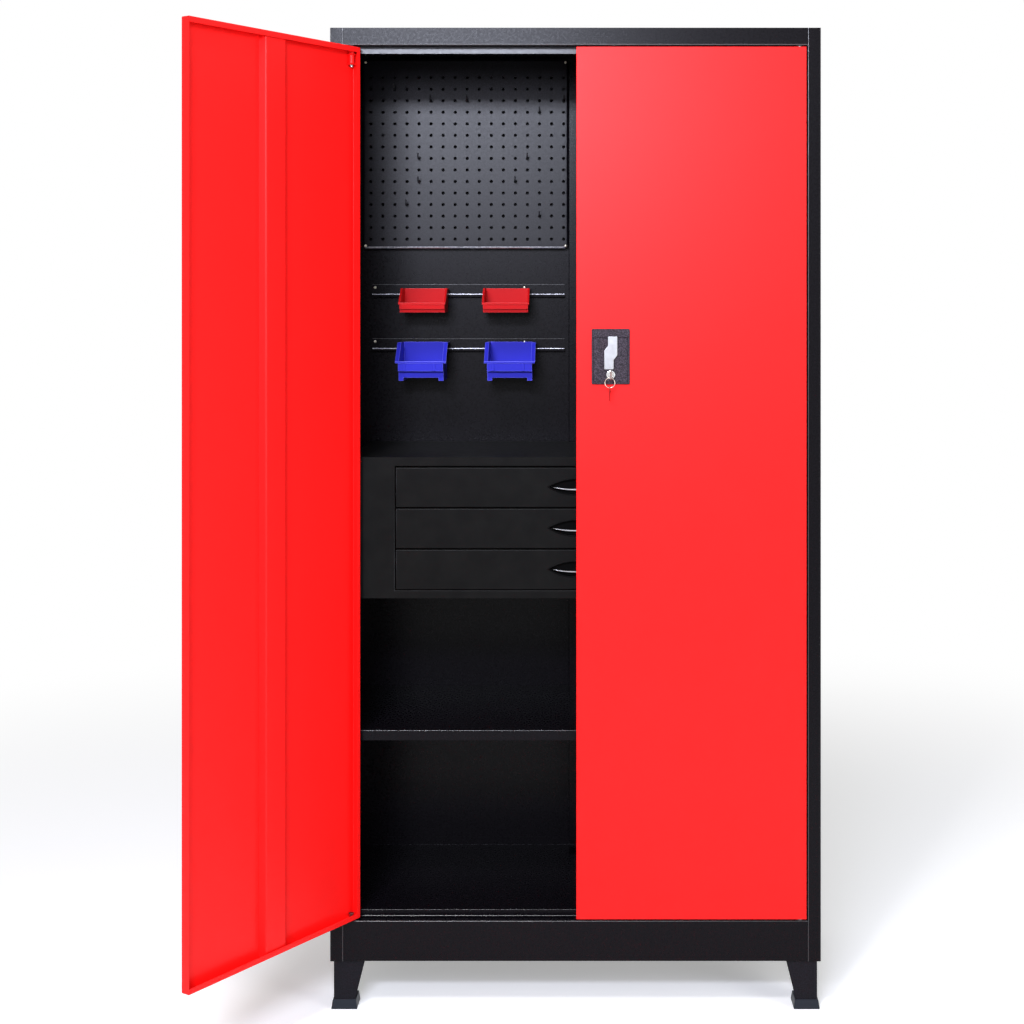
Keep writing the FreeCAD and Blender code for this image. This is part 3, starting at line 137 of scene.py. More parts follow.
class Shader:
    """A node material with a Principled shader and helpers for its texture nodes."""

    def __init__(self, name, colour, roughness, metallic=0.0, specular=0.25):
        self.material = bpy.data.materials.new(name)
        self.material.use_nodes = True
        self.tree = self.material.node_tree
        self.surface = self.tree.nodes["Principled BSDF"]
        self.surface.inputs["Base Color"].default_value = (*colour, 1)
        self.surface.inputs["Roughness"].default_value = roughness
        self.surface.inputs["Metallic"].default_value = metallic
        self.surface.inputs["Specular IOR Level"].default_value = specular
        self.place = self.node("ShaderNodeTexCoord").outputs["Object"]

    def node(self, kind, **settings):
        made = self.tree.nodes.new(kind)
        for key, setting in settings.items():
            setattr(made, key, setting)
        return made

    def link(self, start, end):
        self.tree.links.new(start, end)

    def noise(self, size, detail=2.0, stretch=(1, 1, 1)):
        """A noise whose grains are about size metres wide, times stretch along each axis."""
        mapping = self.node("ShaderNodeMapping")
        mapping.inputs["Scale"].default_value = [1 / (size * s) for s in stretch]
        self.link(self.place, mapping.inputs["Vector"])
        noise = self.node("ShaderNodeTexNoise")
        noise.inputs["Scale"].default_value = 1.0
        noise.inputs["Detail"].default_value = detail
        self.link(mapping.outputs["Vector"], noise.inputs["Vector"])
        return noise.outputs["Fac"]

    def ramp(self, source, *stops):
        """source (0 to 1) turned into a colour through stops of (position, colour or grey)."""
        ramp = self.node("ShaderNodeValToRGB")
        marks = ramp.color_ramp.elements
        while len(marks) < len(stops):
            marks.new(0.5)
        for mark, (position, colour) in zip(marks, stops):
            mark.position = position
            rgb = colour if isinstance(colour, tuple) else (colour,) * 3
            mark.color = (*rgb, 1)
        self.link(source, ramp.inputs["Fac"])
        return ramp.outputs["Color"]

    def colour(self, source):
        self.link(source, self.surface.inputs["Base Color"])

    def roughness(self, source, low, high):
        spread = self.node("ShaderNodeMapRange")
        spread.inputs["To Min"].default_value = low
        spread.inputs["To Max"].default_value = high
        self.link(source, spread.inputs["Value"])
        self.link(spread.outputs["Result"], self.surface.inputs["Roughness"])

    def bump(self, source, depth, strength=1.0):
        """Raises the surface by depth metres where source is 1, over what is there already."""
        bump = self.node("ShaderNodeBump")
        bump.inputs["Distance"].default_value = depth
        bump.inputs["Strength"].default_value = strength
        self.link(source, bump.inputs["Height"])
        normal = self.surface.inputs["Normal"]
        if normal.links:
            self.link(normal.links[0].from_socket, bump.inputs["Normal"])
        self.link(bump.outputs["Normal"], normal)


def speckled_black(name, colour, roughness, grain, specular=0.1):
    """Textured black powder coat: raised grains over a fine orange peel."""
    shader = Shader(name, colour, roughness, specular=specular)
    grains = shader.noise(grain, detail=3)
    shader.bump(shader.ramp(grains, (0.36, 0), (0.66, 1)), 0.03 * MM, 0.4)
    shader.bump(shader.noise(0.7 * MM, detail=0), 0.02 * MM, 0.3)
    dark = tuple(c * 0.6 for c in colour)
    light = tuple(c * 1.7 for c in colour)
    shader.colour(shader.ramp(grains, (0.4, dark), (0.64, light)))
    shader.roughness(shader.noise(5 * MM), roughness - 0.06, roughness + 0.08)
    return shader.material


def painted_sheen_coat(name, dark, light, metallic=0.0, specular=0.5):
    """A lighter, glossier coat for bends and edges: a painted highlight, with a hammered grain."""
    shader = Shader(name, light, 0.3, metallic=metallic, specular=specular)
    hammer = shader.noise(3 * MM, detail=2)
    shader.colour(shader.ramp(hammer, (0.36, dark), (0.62, light)))
    shader.bump(hammer, 0.1 * MM, 0.3)
    shader.roughness(hammer, 0.24, 0.4)
    return shader.material


def red_paint():
    """Red powder coat with a fine orange peel."""
    shader = Shader("red_powder_coat", (0.86, 0.0062, 0.0058), 0.38, specular=0.24)
    cloud = shader.noise(60 * MM, detail=3)
    dark, light = (0.85, 0.006, 0.0056), (0.88, 0.0065, 0.0061)
    shader.colour(shader.ramp(cloud, (0.3, dark), (0.7, light)))
    shader.bump(shader.noise(1.6 * MM, detail=2), 0.06 * MM, 0.35)
    shader.roughness(shader.noise(3 * MM), 0.37, 0.45)
    return shader.material


def satin_black():
    """Smooth satin paint on the drawer chest, with a faint cloudiness."""
    shader = Shader("satin_black_paint", (0.004, 0.004, 0.004), 0.36, specular=0.07)
    shader.bump(shader.noise(0.9 * MM, detail=2), 0.02 * MM, 0.3)
    cloud = shader.noise(30 * MM, detail=5)
    dark, light = (0.0034, 0.0034, 0.0034), (0.0052, 0.0052, 0.005)
    shader.colour(shader.ramp(cloud, (0.35, dark), (0.7, light)))
    shader.roughness(shader.noise(12 * MM, detail=4), 0.31, 0.42)
    return shader.material


def moulded(name, colour, roughness=0.4, grain=0.35, specular=0.25):
    """Moulded plastic with a fine spark-eroded grain and slight sink marks."""
    shader = Shader(name, colour, roughness, specular=specular)
    shader.bump(shader.noise(grain * MM, detail=2), 0.02 * MM, 0.4)
    shader.bump(shader.noise(14 * MM), 0.08 * MM, 0.2)
    shader.roughness(shader.noise(6 * MM, detail=3), roughness - 0.06, roughness + 0.08)
    return shader.material


def plated(name, colour, roughness, grain=(1, 1, 1)):
    """Plated metal with faint drawing lines along the stretched axis."""
    shader = Shader(name, colour, roughness, metallic=1.0, specular=0.5)
    lines = shader.noise(0.6 * MM, detail=3, stretch=grain)
    shader.bump(lines, 0.01 * MM, 0.3)
    shader.roughness(lines, roughness - 0.07, roughness + 0.1)
    cloud = shader.noise(9 * MM, detail=3)
    shader.colour(shader.ramp(cloud, (0.3, tuple(c * 0.86 for c in colour)), (0.7, colour)))
    return shader.material


def crackle():
    """Wrinkle-finish die cast plate."""
    shader = Shader("crackle_black", (0.04, 0.03, 0.042), 0.5, specular=0.16)
    wrinkle = shader.noise(1.8 * MM, detail=4)
    shader.bump(shader.ramp(wrinkle, (0.4, 0), (0.6, 1)), 0.3 * MM, 0.7)
    dark, light = (0.012, 0.009, 0.013), (0.065, 0.05, 0.068)
    shader.colour(shader.ramp(wrinkle, (0.42, dark), (0.62, light)))
    return shader.material


MATERIALS = {
    "carcass": speckled_black("black_powder_coat", (0.0028, 0.0022, 0.0034), 0.27, 2.0 * MM),
    "legs": speckled_black("black_leg_coat", (0.0055, 0.005, 0.0075), 0.4, 1.8 * MM, specular=0.12),
    "foot_caps": moulded("dark_grey_plastic", (0.016, 0.019, 0.026), specular=0.15),
    "doors": red_paint(),
    "chest": satin_black(),
    "zinc": plated("zinc_plate", (0.8, 0.8, 0.79), 0.3, (1, 1, 12)),
    "chrome": plated("chrome_plate", (0.84, 0.85, 0.87), 0.13),
    "black_plastic": moulded("black_plastic", (0.002, 0.002, 0.002), specular=0.03),
    "lock_plate": crackle(),
    "nylon": moulded("nylon", (0.03, 0.03, 0.03)),
    "brass": plated("brass", (0.62, 0.46, 0.26), 0.25),
    "red_bin": moulded("red_plastic", (0.6, 0.006, 0.008), 0.34, specular=0.08),
    "blue_bin": moulded("blue_plastic", (0.03, 0.032, 0.56), 0.34, specular=0.1),
}

# Finishes that only part of a node or one piece has.
# Painted highlight: a bright metallic grey on the pegboards' bottom folds and the rail lips, far
# lighter than the black coat.
EDGE_PAINTED_SHEEN = painted_sheen_coat("edge_painted_sheen", (0.22, 0.22, 0.25), (0.5, 0.5, 0.54), metallic=0.7)
# Painted highlight: a lighter, glossier black on upward-facing bends and rolled edges.
BEND_PAINTED_SHEEN = painted_sheen_coat("bend_painted_sheen", (0.008, 0.008, 0.01), (0.02, 0.018, 0.022), specular=1.0)
# Painted highlight: a lighter, glossier black on the door stop's face.
STOP_PAINTED_SHEEN = painted_sheen_coat("stop_painted_sheen", (0.006, 0.006, 0.008), (0.014, 0.013, 0.016), specular=0.4)
# Painted light: the pegboards' coat is a lighter, glossier copy of the carcass coat, so the boards
# read brighter than the back panels.
PEG_PAINTED_LIGHT_COAT = speckled_black(
    "board_coat_painted_light", (0.0044, 0.004, 0.0062), 0.3, 2.0 * MM, specular=0.17
)
# Painted highlights: lighter copies of the bin plastics on their rounded edges.
BIN_EDGE_HIGHLIGHTS = {
    "red_bin": moulded("red_painted_edge_highlight", (0.9, 0.03, 0.03), 0.3, specular=0.2),
    "blue_bin": moulded("blue_painted_edge_highlight", (0.16, 0.17, 0.95), 0.3, specular=0.2),
}
HANDLE_ZINC = plated("handle_zinc", (0.4, 0.4, 0.41), 0.32)
PULL_STEEL = plated("pull_steel", (0.42, 0.42, 0.43), 0.3)
SCREW_ZINC = plated("screw_zinc", (0.78, 0.74, 0.62), 0.35)
PIN_STEEL = plated("pin_steel", (0.2, 0.2, 0.195), 0.35)
PLUG_STEEL = plated("plug_steel", (0.6, 0.59, 0.56), 0.25)
# Painted shade: a dim reddish-brown metal for the door key, for its bow in shade.
DOOR_KEY_SHADE = plated("door_key_painted_shade", (0.24, 0.13, 0.11), 0.3)
# Painted shade: a near-black reddish metal for the spare key, which hangs in shadow.
SPARE_KEY_SHADE = plated("spare_key_painted_shade", (0.02, 0.006, 0.006), 0.35)
RING_STEEL = plated("ring_steel", (0.55, 0.48, 0.42), 0.25)
BLACK_WIRE = moulded("black_wire", (0.02, 0.02, 0.023), 0.3)


# ---------------------------------------------------------------- mesh code


def finished(shape, name):
    """A mesh from a bmesh, smooth except along its sharp edges."""
    bmesh.ops.recalc_face_normals(shape, faces=shape.faces)
    mesh = bpy.data.meshes.new(name)
    shape.to_mesh(mesh)
    shape.free()
    for left_over in ("custom_normal", "sharp_edge", "sharp_face"):
        if left_over in mesh.attributes:
            mesh.attributes.remove(mesh.attributes[left_over])
    mesh.shade_smooth()
    mesh.set_sharp_from_angle(angle=SHARP_ANGLE)
    return mesh


def add_piece(shape, name, node, material=None, bends=None, stands_for=True):
    """A piece on a node's body, with the node's finish unless it has its own.

    Faces with material index 1 get the finish bends, which every caller fills with a painted
    highlight. With stands_for it replaces the node.
    """
    mesh = finished(shape, name)
    mesh.materials.append(material or MATERIALS[SLOT_OF[node]])
    if bends:
        mesh.materials.append(bends)
    made = bpy.data.objects.new(name, mesh)
    bpy.context.scene.collection.objects.link(made)
    even = made.modifiers.new("even_normals", "WEIGHTED_NORMAL")
    even.keep_sharp = True
    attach(made, BODY_OF[node])
    if stands_for:
        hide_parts(node)
    return made


def clean_copy(node):
    """A copy of a node's surface, with each flat side joined into one face."""
    shape = bmesh.new()
    shape.from_mesh(NODES[node].data)
    bmesh.ops.remove_doubles(shape, verts=shape.verts, dist=WELD)
    bmesh.ops.dissolve_limit(shape, angle_limit=FLAT_ANGLE, verts=shape.verts, edges=shape.edges)
    return shape


def islands(node):
    """The lowest and highest corner of each separate solid of a node."""
    shape = clean_copy(node)
    left = set(shape.verts)
    boxes = []
    while left:
        reach = [left.pop()]
        places = []
        while reach:
            vert = reach.pop()
            places.append(vert.co.copy())
            for edge in vert.link_edges:
                other = edge.other_vert(vert)
                if other in left:
                    left.discard(other)
                    reach.append(other)
        low = Vector([min(p[i] for p in places) for i in range(3)])
        high = Vector([max(p[i] for p in places) for i in range(3)])
        boxes.append((low, high))
    shape.free()
    return sorted(boxes, key=lambda pair: tuple(round(c, BOX_DIGITS) for c in pair[0]))


def face_width(face):
    """How wide a long face is."""
    return 2 * face.calc_area() / max(face.calc_perimeter(), WELD)


def folds(shape, convex):
    """The edges where sheet is folded, outside the folds or inside them."""
    return [
        edge
        for edge in shape.edges
        if len(edge.link_faces) == 2
        and edge.is_convex == convex
        and edge.calc_length() > SHORTEST_FOLD
        and edge.calc_face_angle(0) > FOLD_ANGLE
        and min(face_width(face) for face in edge.link_faces) > SHEET_FACE
    ]


def bevel(shape, edges, width, steps, material=-1):
    """Rounds edges; material is the index of the new faces, or -1 for that of their neighbours."""
    if edges:
        bmesh.ops.bevel(
            shape,
            geom=edges,
            offset=width,
            offset_type="OFFSET",
            segments=steps,
            profile=0.5,
            affect="EDGES",
            clamp_overlap=True,
            material=material,
        )


def fold_sheet(node):
    """Gives a node of folded sheet its bend radii; on some nodes the outer bends that face up get a
    lighter, glossier coat as a painted highlight, and on the header rail the door stop's face gets
    one too.
    """
    shape = clean_copy(node)
    lit = node in PAINTED_SHEEN_BENDS
    bevel(shape, folds(shape, True), OUTER_FOLD, FOLD_STEPS, 1 if lit else -1)
    bevel(shape, folds(shape, False), INNER_FOLD, FOLD_STEPS)
    shape.normal_update()
    # Bends that face down too much lose the painted highlight.
    if lit:
        for face in shape.faces:
            if face.normal.z < PAINTED_SHEEN_BENDS[node]:
                face.material_index = 0
    made = add_piece(shape, f"{node}_folded", node, bends=BEND_PAINTED_SHEEN if lit else None)
    # The door stop's face gets a painted highlight as material 2.
    if node == "header_rail":
        made.data.materials.append(STOP_PAINTED_SHEEN)
        for face in made.data.polygons:
            if face.normal.y < FACES_FRONT and STOP_FACE[0] < face.center.y < STOP_FACE[1]:
                face.material_index = 2


def sharp_edges(shape):
    """The edges between two faces that meet at a sharp angle."""
    return [
        edge
        for edge in shape.edges
        if len(edge.link_faces) == 2 and edge.calc_face_angle(0) > SHARP_ANGLE
    ]


def soften(node, width, steps=2, material=None):
    """Rounds every sharp edge of a cast, moulded or machined node."""
    shape = clean_copy(node)
    bevel(shape, sharp_edges(shape), width, steps)
    add_piece(shape, f"{node}_rounded", node, material)


def loft(shape, rings, closed=False, capped=True):
    """Skins a row of rings with equally many points; closed joins the last to the first."""
    rows = [[shape.verts.new(point) for point in ring] for ring in rings]
    count = len(rows[0])
    pairs = list(zip(rows, rows[1:])) + ([(rows[-1], rows[0])] if closed else [])
    for near, far in pairs:
        for i in range(count):
            j = (i + 1) % count
            shape.faces.new((near[i], near[j], far[j], far[i]))
    if capped and not closed:
        shape.faces.new(rows[0])
        shape.faces.new(rows[-1])
    return rows


def circle(radius, sides=24):
    """The points (a, b) round a circle about the origin."""
    turns = [2 * math.pi * i / sides for i in range(sides)]
    return [(radius * math.cos(t), radius * math.sin(t)) for t in turns]


def lathe(shape, x, z, profile):
    """Turns a profile of (y, radius) about an axis along Y through x and z."""
    return loft(shape, [[(x + a, y, z + b) for a, b in circle(r)] for y, r in profile])


def upright_lathe(shape, x, y, profile):
    """Turns a profile of (z, radius) about an upright axis through x and y."""
    return loft(shape, [[(x + a, y + b, z) for a, b in circle(r)] for z, r in profile])


def rounded_path(points, radius, steps=5):
    """A route of straight runs with its corners turned on arcs."""
    points = [Vector(p) for p in points]
    path = [points[0]]
    for before, corner, after in zip(points, points[1:], points[2:]):
        into = (corner - before).normalized()
        out = (after - corner).normalized()
        turn = into.angle(out)
        setback = radius * math.tan(turn / 2)
        start = corner - into * setback
        side = (out - into * into.dot(out)).normalized()
        for i in range(steps + 1):
            angle = turn * i / steps
            ahead, aside = into * radius * math.sin(angle), side * radius * (1 - math.cos(angle))
            path.append(start + ahead + aside)
    path.append(points[-1])
    return path


def wire(shape, path, radius, sides=10, closed=False, flatten=1.0):
    """A round wire along a path; flatten narrows it along Y."""
    rings = []
    count = len(path)
    for i, point in enumerate(path):
        before = path[(i - 1) % count] if closed or i else point
        after = path[(i + 1) % count] if closed or i < count - 1 else point
        along = (after - before).normalized()
        across = Vector((1, 0, 0)) if abs(along.x) < 0.5 else Vector((0, 1, 0))
        side = along.cross(across).normalized()
        up = side.cross(along)
        ring = []
        for step in range(sides):
            turn = 2 * math.pi * step / sides
            offset = (side * math.cos(turn) + up * math.sin(turn)) * radius
            ring.append(point + Vector((offset.x, offset.y * flatten, offset.z)))
        rings.append(ring)
    loft(shape, rings, closed=closed)


# ---------------------------------------------------------------- sheet metal

FOLDED_NODES = (
    "left_side_panel",
    "right_side_panel",
    "top_panel",
    "header_rail",
    "floor_panel",
    "front_plinth",
    "rear_plinth",
    "left_back_panel",
    "right_back_panel",
    "back_post",
    "corner_legs",
    "bin_rails",
    "lower_shelf",
    "shelf_clips",
    "chest_casing",
    "chest_front_frame",
    "chest_support_angles",
    "drawer_runners",
    "left_door_panel",
    "left_door_stiffener",
    "left_hinge_brackets",
    "right_door_panel",
    "right_door_stiffener",
    "right_hinge_brackets",
)


# The nodes whose outer bends get a painted highlight, with the least upward slope of the bends that
# keep it.
PAINTED_SHEEN_BENDS = {
    "left_side_panel": -0.1,
    "right_side_panel": -0.1,
    "header_rail": -2,
    "front_plinth": 0.3,
    "floor_panel": 0.3,
    "lower_shelf": -0.1,
}


def rolled_edge(name, node, y, z, x_low, x_high, radius, material, flatten=1.0):
    """The rounded edge of a sheet, along X, in a finish that paints a highlight on it."""
    shape = bmesh.new()
    wire(shape, [Vector((x_low, y, z)), Vector((x_high, y, z))], radius, flatten=flatten)
    add_piece(shape, name, node, material, stands_for=False)


def rail_edges():
    """The edges of the bin rails' flanges and lips, with painted highlights: bright metallic on the
    lips, a lighter black on the flanges.
    """
    for low, high in islands("bin_rails"):
        side = "left" if low.x < 0 else "right"
        level = "upper" if low.z > RAIL_SPLIT else "lower"
        ends = low.x + RAIL_END_GAP, high.x - RAIL_END_GAP
        lip = low.y + SHEET / 2, low.z + RAIL_LIP - RAIL_LIP_DROP
        flange = high.y - SHEET / 2, high.z
        name = f"rail_{side}_{level}"
        rolled_edge(
            f"{name}_lip", "bin_rails", *lip, *ends, RAIL_LIP_RADIUS, EDGE_PAINTED_SHEEN, RAIL_LIP_FLATTEN
        )
        rolled_edge(f"{name}_flange", "bin_rails", *flange, *ends, RAIL_FLANGE_RADIUS, BEND_PAINTED_SHEEN)


def riser_foot():
    """The rounded foot of the floor's front riser, with a painted highlight."""
    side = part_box("header_rail")[1].x - SHEET
    foot = RISER_FACE, PLINTH_TOP + RISER_FOOT_LIFT
    rolled_edge(
        "floor_riser_foot", "floor_panel", *foot, -side, side, RISER_FOOT_RADIUS, BEND_PAINTED_SHEEN
    )


def dress_nodes():
    """Gives every CAD node the finish of its slot."""
    for name, node in NODES.items():
        for place in node.material_slots:
            place.material = MATERIALS[SLOT_OF[name]]


def perimeter(low, high, spots_x, spots_z):
    """The points round a rectangle in XZ, in order, at the given divisions of its sides."""
    bottom = [(x, low.z) for x in spots_x[:-1]]
    right = [(high.x, z) for z in spots_z[:-1]]
    top = [(x, high.z) for x in reversed(spots_x[1:])]
    left = [(low.x, z) for z in reversed(spots_z[1:])]
    return bottom + right + top + left


def between(start, end, parts):
    """The points that divide a stretch into equal parts, with both its ends."""
    return [start + (end - start) * i / parts for i in range(parts + 1)]


def divided(lines, parts):
    """Every line and the points that divide the stretches between them into equal parts."""
    inner = [s for a, b in zip(lines, lines[1:]) for s in between(a, b, parts)[1:]]
    return [lines[0]] + inner


def holed_cell(shape, hole, low, high, front, back):
    """One cell of a perforated sheet: front and back faces round a hole with a drawn edge."""
    quarter = PEG_HOLE_SIDES // 4
    border = perimeter(
        Vector((low[0], 0, low[1])),
        Vector((high[0], 0, high[1])),
        between(low[0], high[0], quarter),
        between(low[1], high[1], quarter),
    )
    turns = [math.pi * (2 * i / PEG_HOLE_SIDES - 0.75) for i in range(PEG_HOLE_SIDES)]

    def hole_ring(radius, y):
        return [(hole[0] + radius * math.cos(t), y, hole[1] + radius * math.sin(t)) for t in turns]

    wide = PEG_HOLE_RADIUS + PEG_HOLE_LIP
    rings = [
        [(x, front, z) for x, z in border],
        hole_ring(wide, front),
        hole_ring(PEG_HOLE_RADIUS, front + PEG_HOLE_LIP),
        hole_ring(PEG_HOLE_RADIUS, back),
        [(x, back, z) for x, z in border],
    ]
    loft(shape, rings, capped=False)


def pegboard(node, side):
    """The perforated pan: round punched holes in a grid, and four edges folded to the back; the
    bottom fold has a painted highlight.
    """
    low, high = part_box(node)
    front, rear = low.y, high.y
    back = front + PEG_SHEET
    columns = [PEG_FIRST_COLUMN + i * PEG_COLUMN_PITCH for i in range(PEG_COLUMNS)]
    holes_x = sorted(side * x for x in columns)
    holes_z = [low.z + PEG_FIRST_ROW + i * PEG_ROW_PITCH for i in range(PEG_ROWS)]
    half_x, half_z = PEG_COLUMN_PITCH / 2, PEG_ROW_PITCH / 2
    lines_x = [low.x + PEG_FOLD] + [x + half_x for x in holes_x[:-1]] + [high.x - PEG_FOLD]
    lines_z = [low.z + PEG_FOLD] + [z + half_z for z in holes_z[:-1]] + [high.z - PEG_FOLD]
    shape = bmesh.new()
    for i, x in enumerate(holes_x):
        for j, z in enumerate(holes_z):
            corners = (lines_x[i], lines_z[j]), (lines_x[i + 1], lines_z[j + 1])
            holed_cell(shape, (x, z), *corners, front, back)
    quarter = PEG_HOLE_SIDES // 4
    inner_low = Vector((lines_x[0], 0, lines_z[0]))
    inner_high = Vector((lines_x[-1], 0, lines_z[-1]))
    edge = perimeter(inner_low, inner_high, divided(lines_x, quarter), divided(lines_z, quarter))

    def ring(out, y):
        """The border of the holed field, moved out by a distance."""
        moved = []
        for x, z in edge:
            x += out if x == inner_high.x else -out if x == inner_low.x else 0
            z += out if z == inner_high.z else -out if z == inner_low.z else 0
            moved.append((x, y, z))
        return moved

    steps = 2 * FOLD_STEPS
    turns = [math.pi / 2 * i / steps for i in range(steps + 1)]
    outer = [ring(PEG_FOLD * math.sin(t), front + PEG_FOLD * (1 - math.cos(t))) for t in turns]
    inside = PEG_FOLD - PEG_SHEET
    inner = [ring(inside * math.sin(t), back + inside * (1 - math.cos(t))) for t in reversed(turns)]
    plain = set(shape.faces)
    loft(shape, outer, capped=False)
    # The bottom fold gets material index 1, a painted highlight.
    for face in set(shape.faces) - plain:
        if face.calc_center_median().z < inner_low.z:
            face.material_index = 1
    loft(shape, [outer[-1], ring(PEG_FOLD, rear), ring(inside, rear), *inner], capped=False)
    bmesh.ops.remove_doubles(shape, verts=shape.verts, dist=WELD)
    add_piece(shape, f"{node}_punched", node, PEG_PAINTED_LIGHT_COAT, bends=EDGE_PAINTED_SHEEN)


def hooks():
    """Bent wire hooks, each with its anchor behind the board and a raised tip."""
    shape = bmesh.new()
    for low, high in islands("pegboard_hooks"):
        x = (low.x + high.x) / 2
        r = HOOK_WIRE_RADIUS
        route = [
            (x, high.y - r, high.z),
            (x, high.y - r, low.z + r),
            (x, low.y + r, low.z + r),
            (x, low.y + r, high.z - r / 2),
        ]
        wire(shape, rounded_path(route, HOOK_BEND), r)
    add_piece(shape, "pegboard_hook_wires", "pegboard_hooks", BLACK_WIRE)


def screws():
    """Domed screw heads with a cross recess."""
    shape = bmesh.new()
    for low, high in islands("panel_screws"):
        x, z = (low.x + high.x) / 2, (low.z + high.z) / 2
        radius = SCREW_SHARE * (high.x - low.x) / 2
        tall = high.y - low.y
        rows = lathe(shape, x, z, [(high.y - tall * up, radius * out) for up, out in SCREW_DOME])
        for row in rows[SCREW_RECESS_ROW:]:
            for vert in row:
                if min(abs(vert.co.x - x), abs(vert.co.z - z)) < SCREW_RECESS_WIDTH * radius:
                    vert.co.y += SCREW_RECESS_DEPTH * tall
    add_piece(shape, "panel_screw_heads", "panel_screws", SCREW_ZINC)


def hinge_sleeve(side):
    """The painted tube on the door round the tail of its upper hinge pin."""
    low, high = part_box(f"{side}_hinge_pins")
    x, y = (low.x + high.x) / 2, (low.y + high.y) / 2
    pin_above_door, gap, length = 9.5 * MM, 1.2 * MM, 33 * MM
    radius, bore, round_off = 5.4 * MM, 3.6 * MM, 0.8 * MM
    door_top = high.z - pin_above_door
    top, bottom = door_top - gap, door_top - length
    profile = [
        (top, radius),
        (bottom + round_off, radius),
        (bottom, radius - round_off),
        (bottom, bore),
    ]
    shape = bmesh.new()
    upright_lathe(shape, x, y, profile)
    add_piece(shape, f"{side}_hinge_sleeve", f"{side}_hinge_brackets", stands_for=False)


# ---------------------------------------------------------------- drawers


PULL_BEAD = 1.3 * MM
PULL_SPOTS = 24  # points along one side of the cup's mouth
BAR_LENGTH, BAR_SAG = 0.91, 0.48  # shares of the CAD bar's length and height
BAR_THICK = 3.2 * MM
BAR_THINNEST = 0.15 * MM  # half the thickness at the tips
BAR_STEPS = 32
BAR_SIDES = 16
BAR_SQUARENESS = 0.6  # 1 is an ellipse, 0 a rectangle
BAR_REACH = 0.995  # stops just short of the tips, where the bar would have no height


def squared(wave):
    """A sine or cosine, flattened towards the section of a bar with rounded corners."""
    return math.copysign(abs(wave) ** BAR_SQUARENESS, wave)


def arc_height(x, half, sag):
    """How far an arc from -half to half that rises by sag in its middle has risen at x."""
    radius = (half**2 + sag**2) / (2 * sag)
    return math.sqrt(max(radius**2 - x**2, 0)) - (radius - sag)


def drawer_pull(drawer):
    """A leaf-shaped cup with a raised bead round its mouth, and a bright crescent bar."""
    cup = f"{drawer}_pull_cup"
    low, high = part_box(cup)
    half, sag = (high.x - low.x) / 2, (high.z - low.z) / 2
    middle = (high.z + low.z) / 2
    shape = clean_copy(cup)
    spots = [
        half * math.sin(math.pi / 2 * (2 * i / PULL_SPOTS - 1)) for i in range(PULL_SPOTS + 1)
    ]
    upper = [Vector((x, low.y, middle + arc_height(x, half, sag))) for x in spots]
    back_again = list(reversed(spots[1:-1]))
    lower = [Vector((x, low.y, middle - arc_height(x, half, sag))) for x in back_again]
    wire(shape, upper + lower, PULL_BEAD, sides=8, closed=True, flatten=0.8)
    add_piece(shape, f"{cup}_moulded", cup)

    bar = f"{drawer}_pull_bar"
    low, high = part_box(bar)
    half, sag = BAR_LENGTH * (high.x - low.x) / 2, BAR_SAG * (high.z - low.z)
    centre_y, half_y = (low.y + high.y) / 2, (high.y - low.y) / 2
    shape = bmesh.new()
    rings = []
    section = [(squared(a), squared(b)) for a, b in circle(1, BAR_SIDES)]
    for i in range(BAR_STEPS + 1):
        x = half * math.sin(math.pi / 2 * (2 * i / BAR_STEPS - 1)) * BAR_REACH
        bottom = high.z - arc_height(x, half, sag)
        top = high.z - arc_height(x, half, sag - BAR_THICK)
        centre_z, half_z = (bottom + top) / 2, max((top - bottom) / 2, BAR_THINNEST)
        rings.append([(x, centre_y + half_y * y, centre_z + half_z * z) for y, z in section])
    loft(shape, rings)
    add_piece(shape, f"{bar}_cast", bar, PULL_STEEL)


# ---------------------------------------------------------------- lock and keys


def lock_lever():
    """The cast lever: a chamfered front on two offset arms, and its spindle."""
    low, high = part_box("lock_handle")
    x, z = (low.x + high.x) / 2, (low.z + high.z) / 2
    front, back = low.y, low.y + 4 * MM
    neck_end, neck, spindle = -0.192, 5 * MM, 4 * MM
    inner, outer, reach = 5.2 * MM, 12 * MM, 30 * MM
    shoulder, notch = 4.5 * MM, 13 * MM
    half_turn = [(-inner, reach), (-inner, notch), (-outer, shoulder), (-outer, -reach)]
    outline = half_turn + [(-px, -pz) for px, pz in half_turn]
    shape = bmesh.new()
    loft(shape, [[(x + px, y, z + pz) for px, pz in outline] for y in (back, front)])
    upright = [e for e in shape.edges if abs((e.verts[0].co - e.verts[1].co).y) > 1 * MM]
    bevel(shape, upright, 0.9 * MM, 2)
    rim = [e for e in shape.edges if all(abs(v.co.y - front) < WELD for v in e.verts)]
    bevel(shape, rim, 0.7 * MM, 2)
    steps = [(back - 0.5 * MM, neck), (neck_end, neck), (neck_end, spindle), (high.y, spindle)]
    lathe(shape, x, z, steps)
    add_piece(shape, "lock_handle_cast", "lock_handle", HANDLE_ZINC)


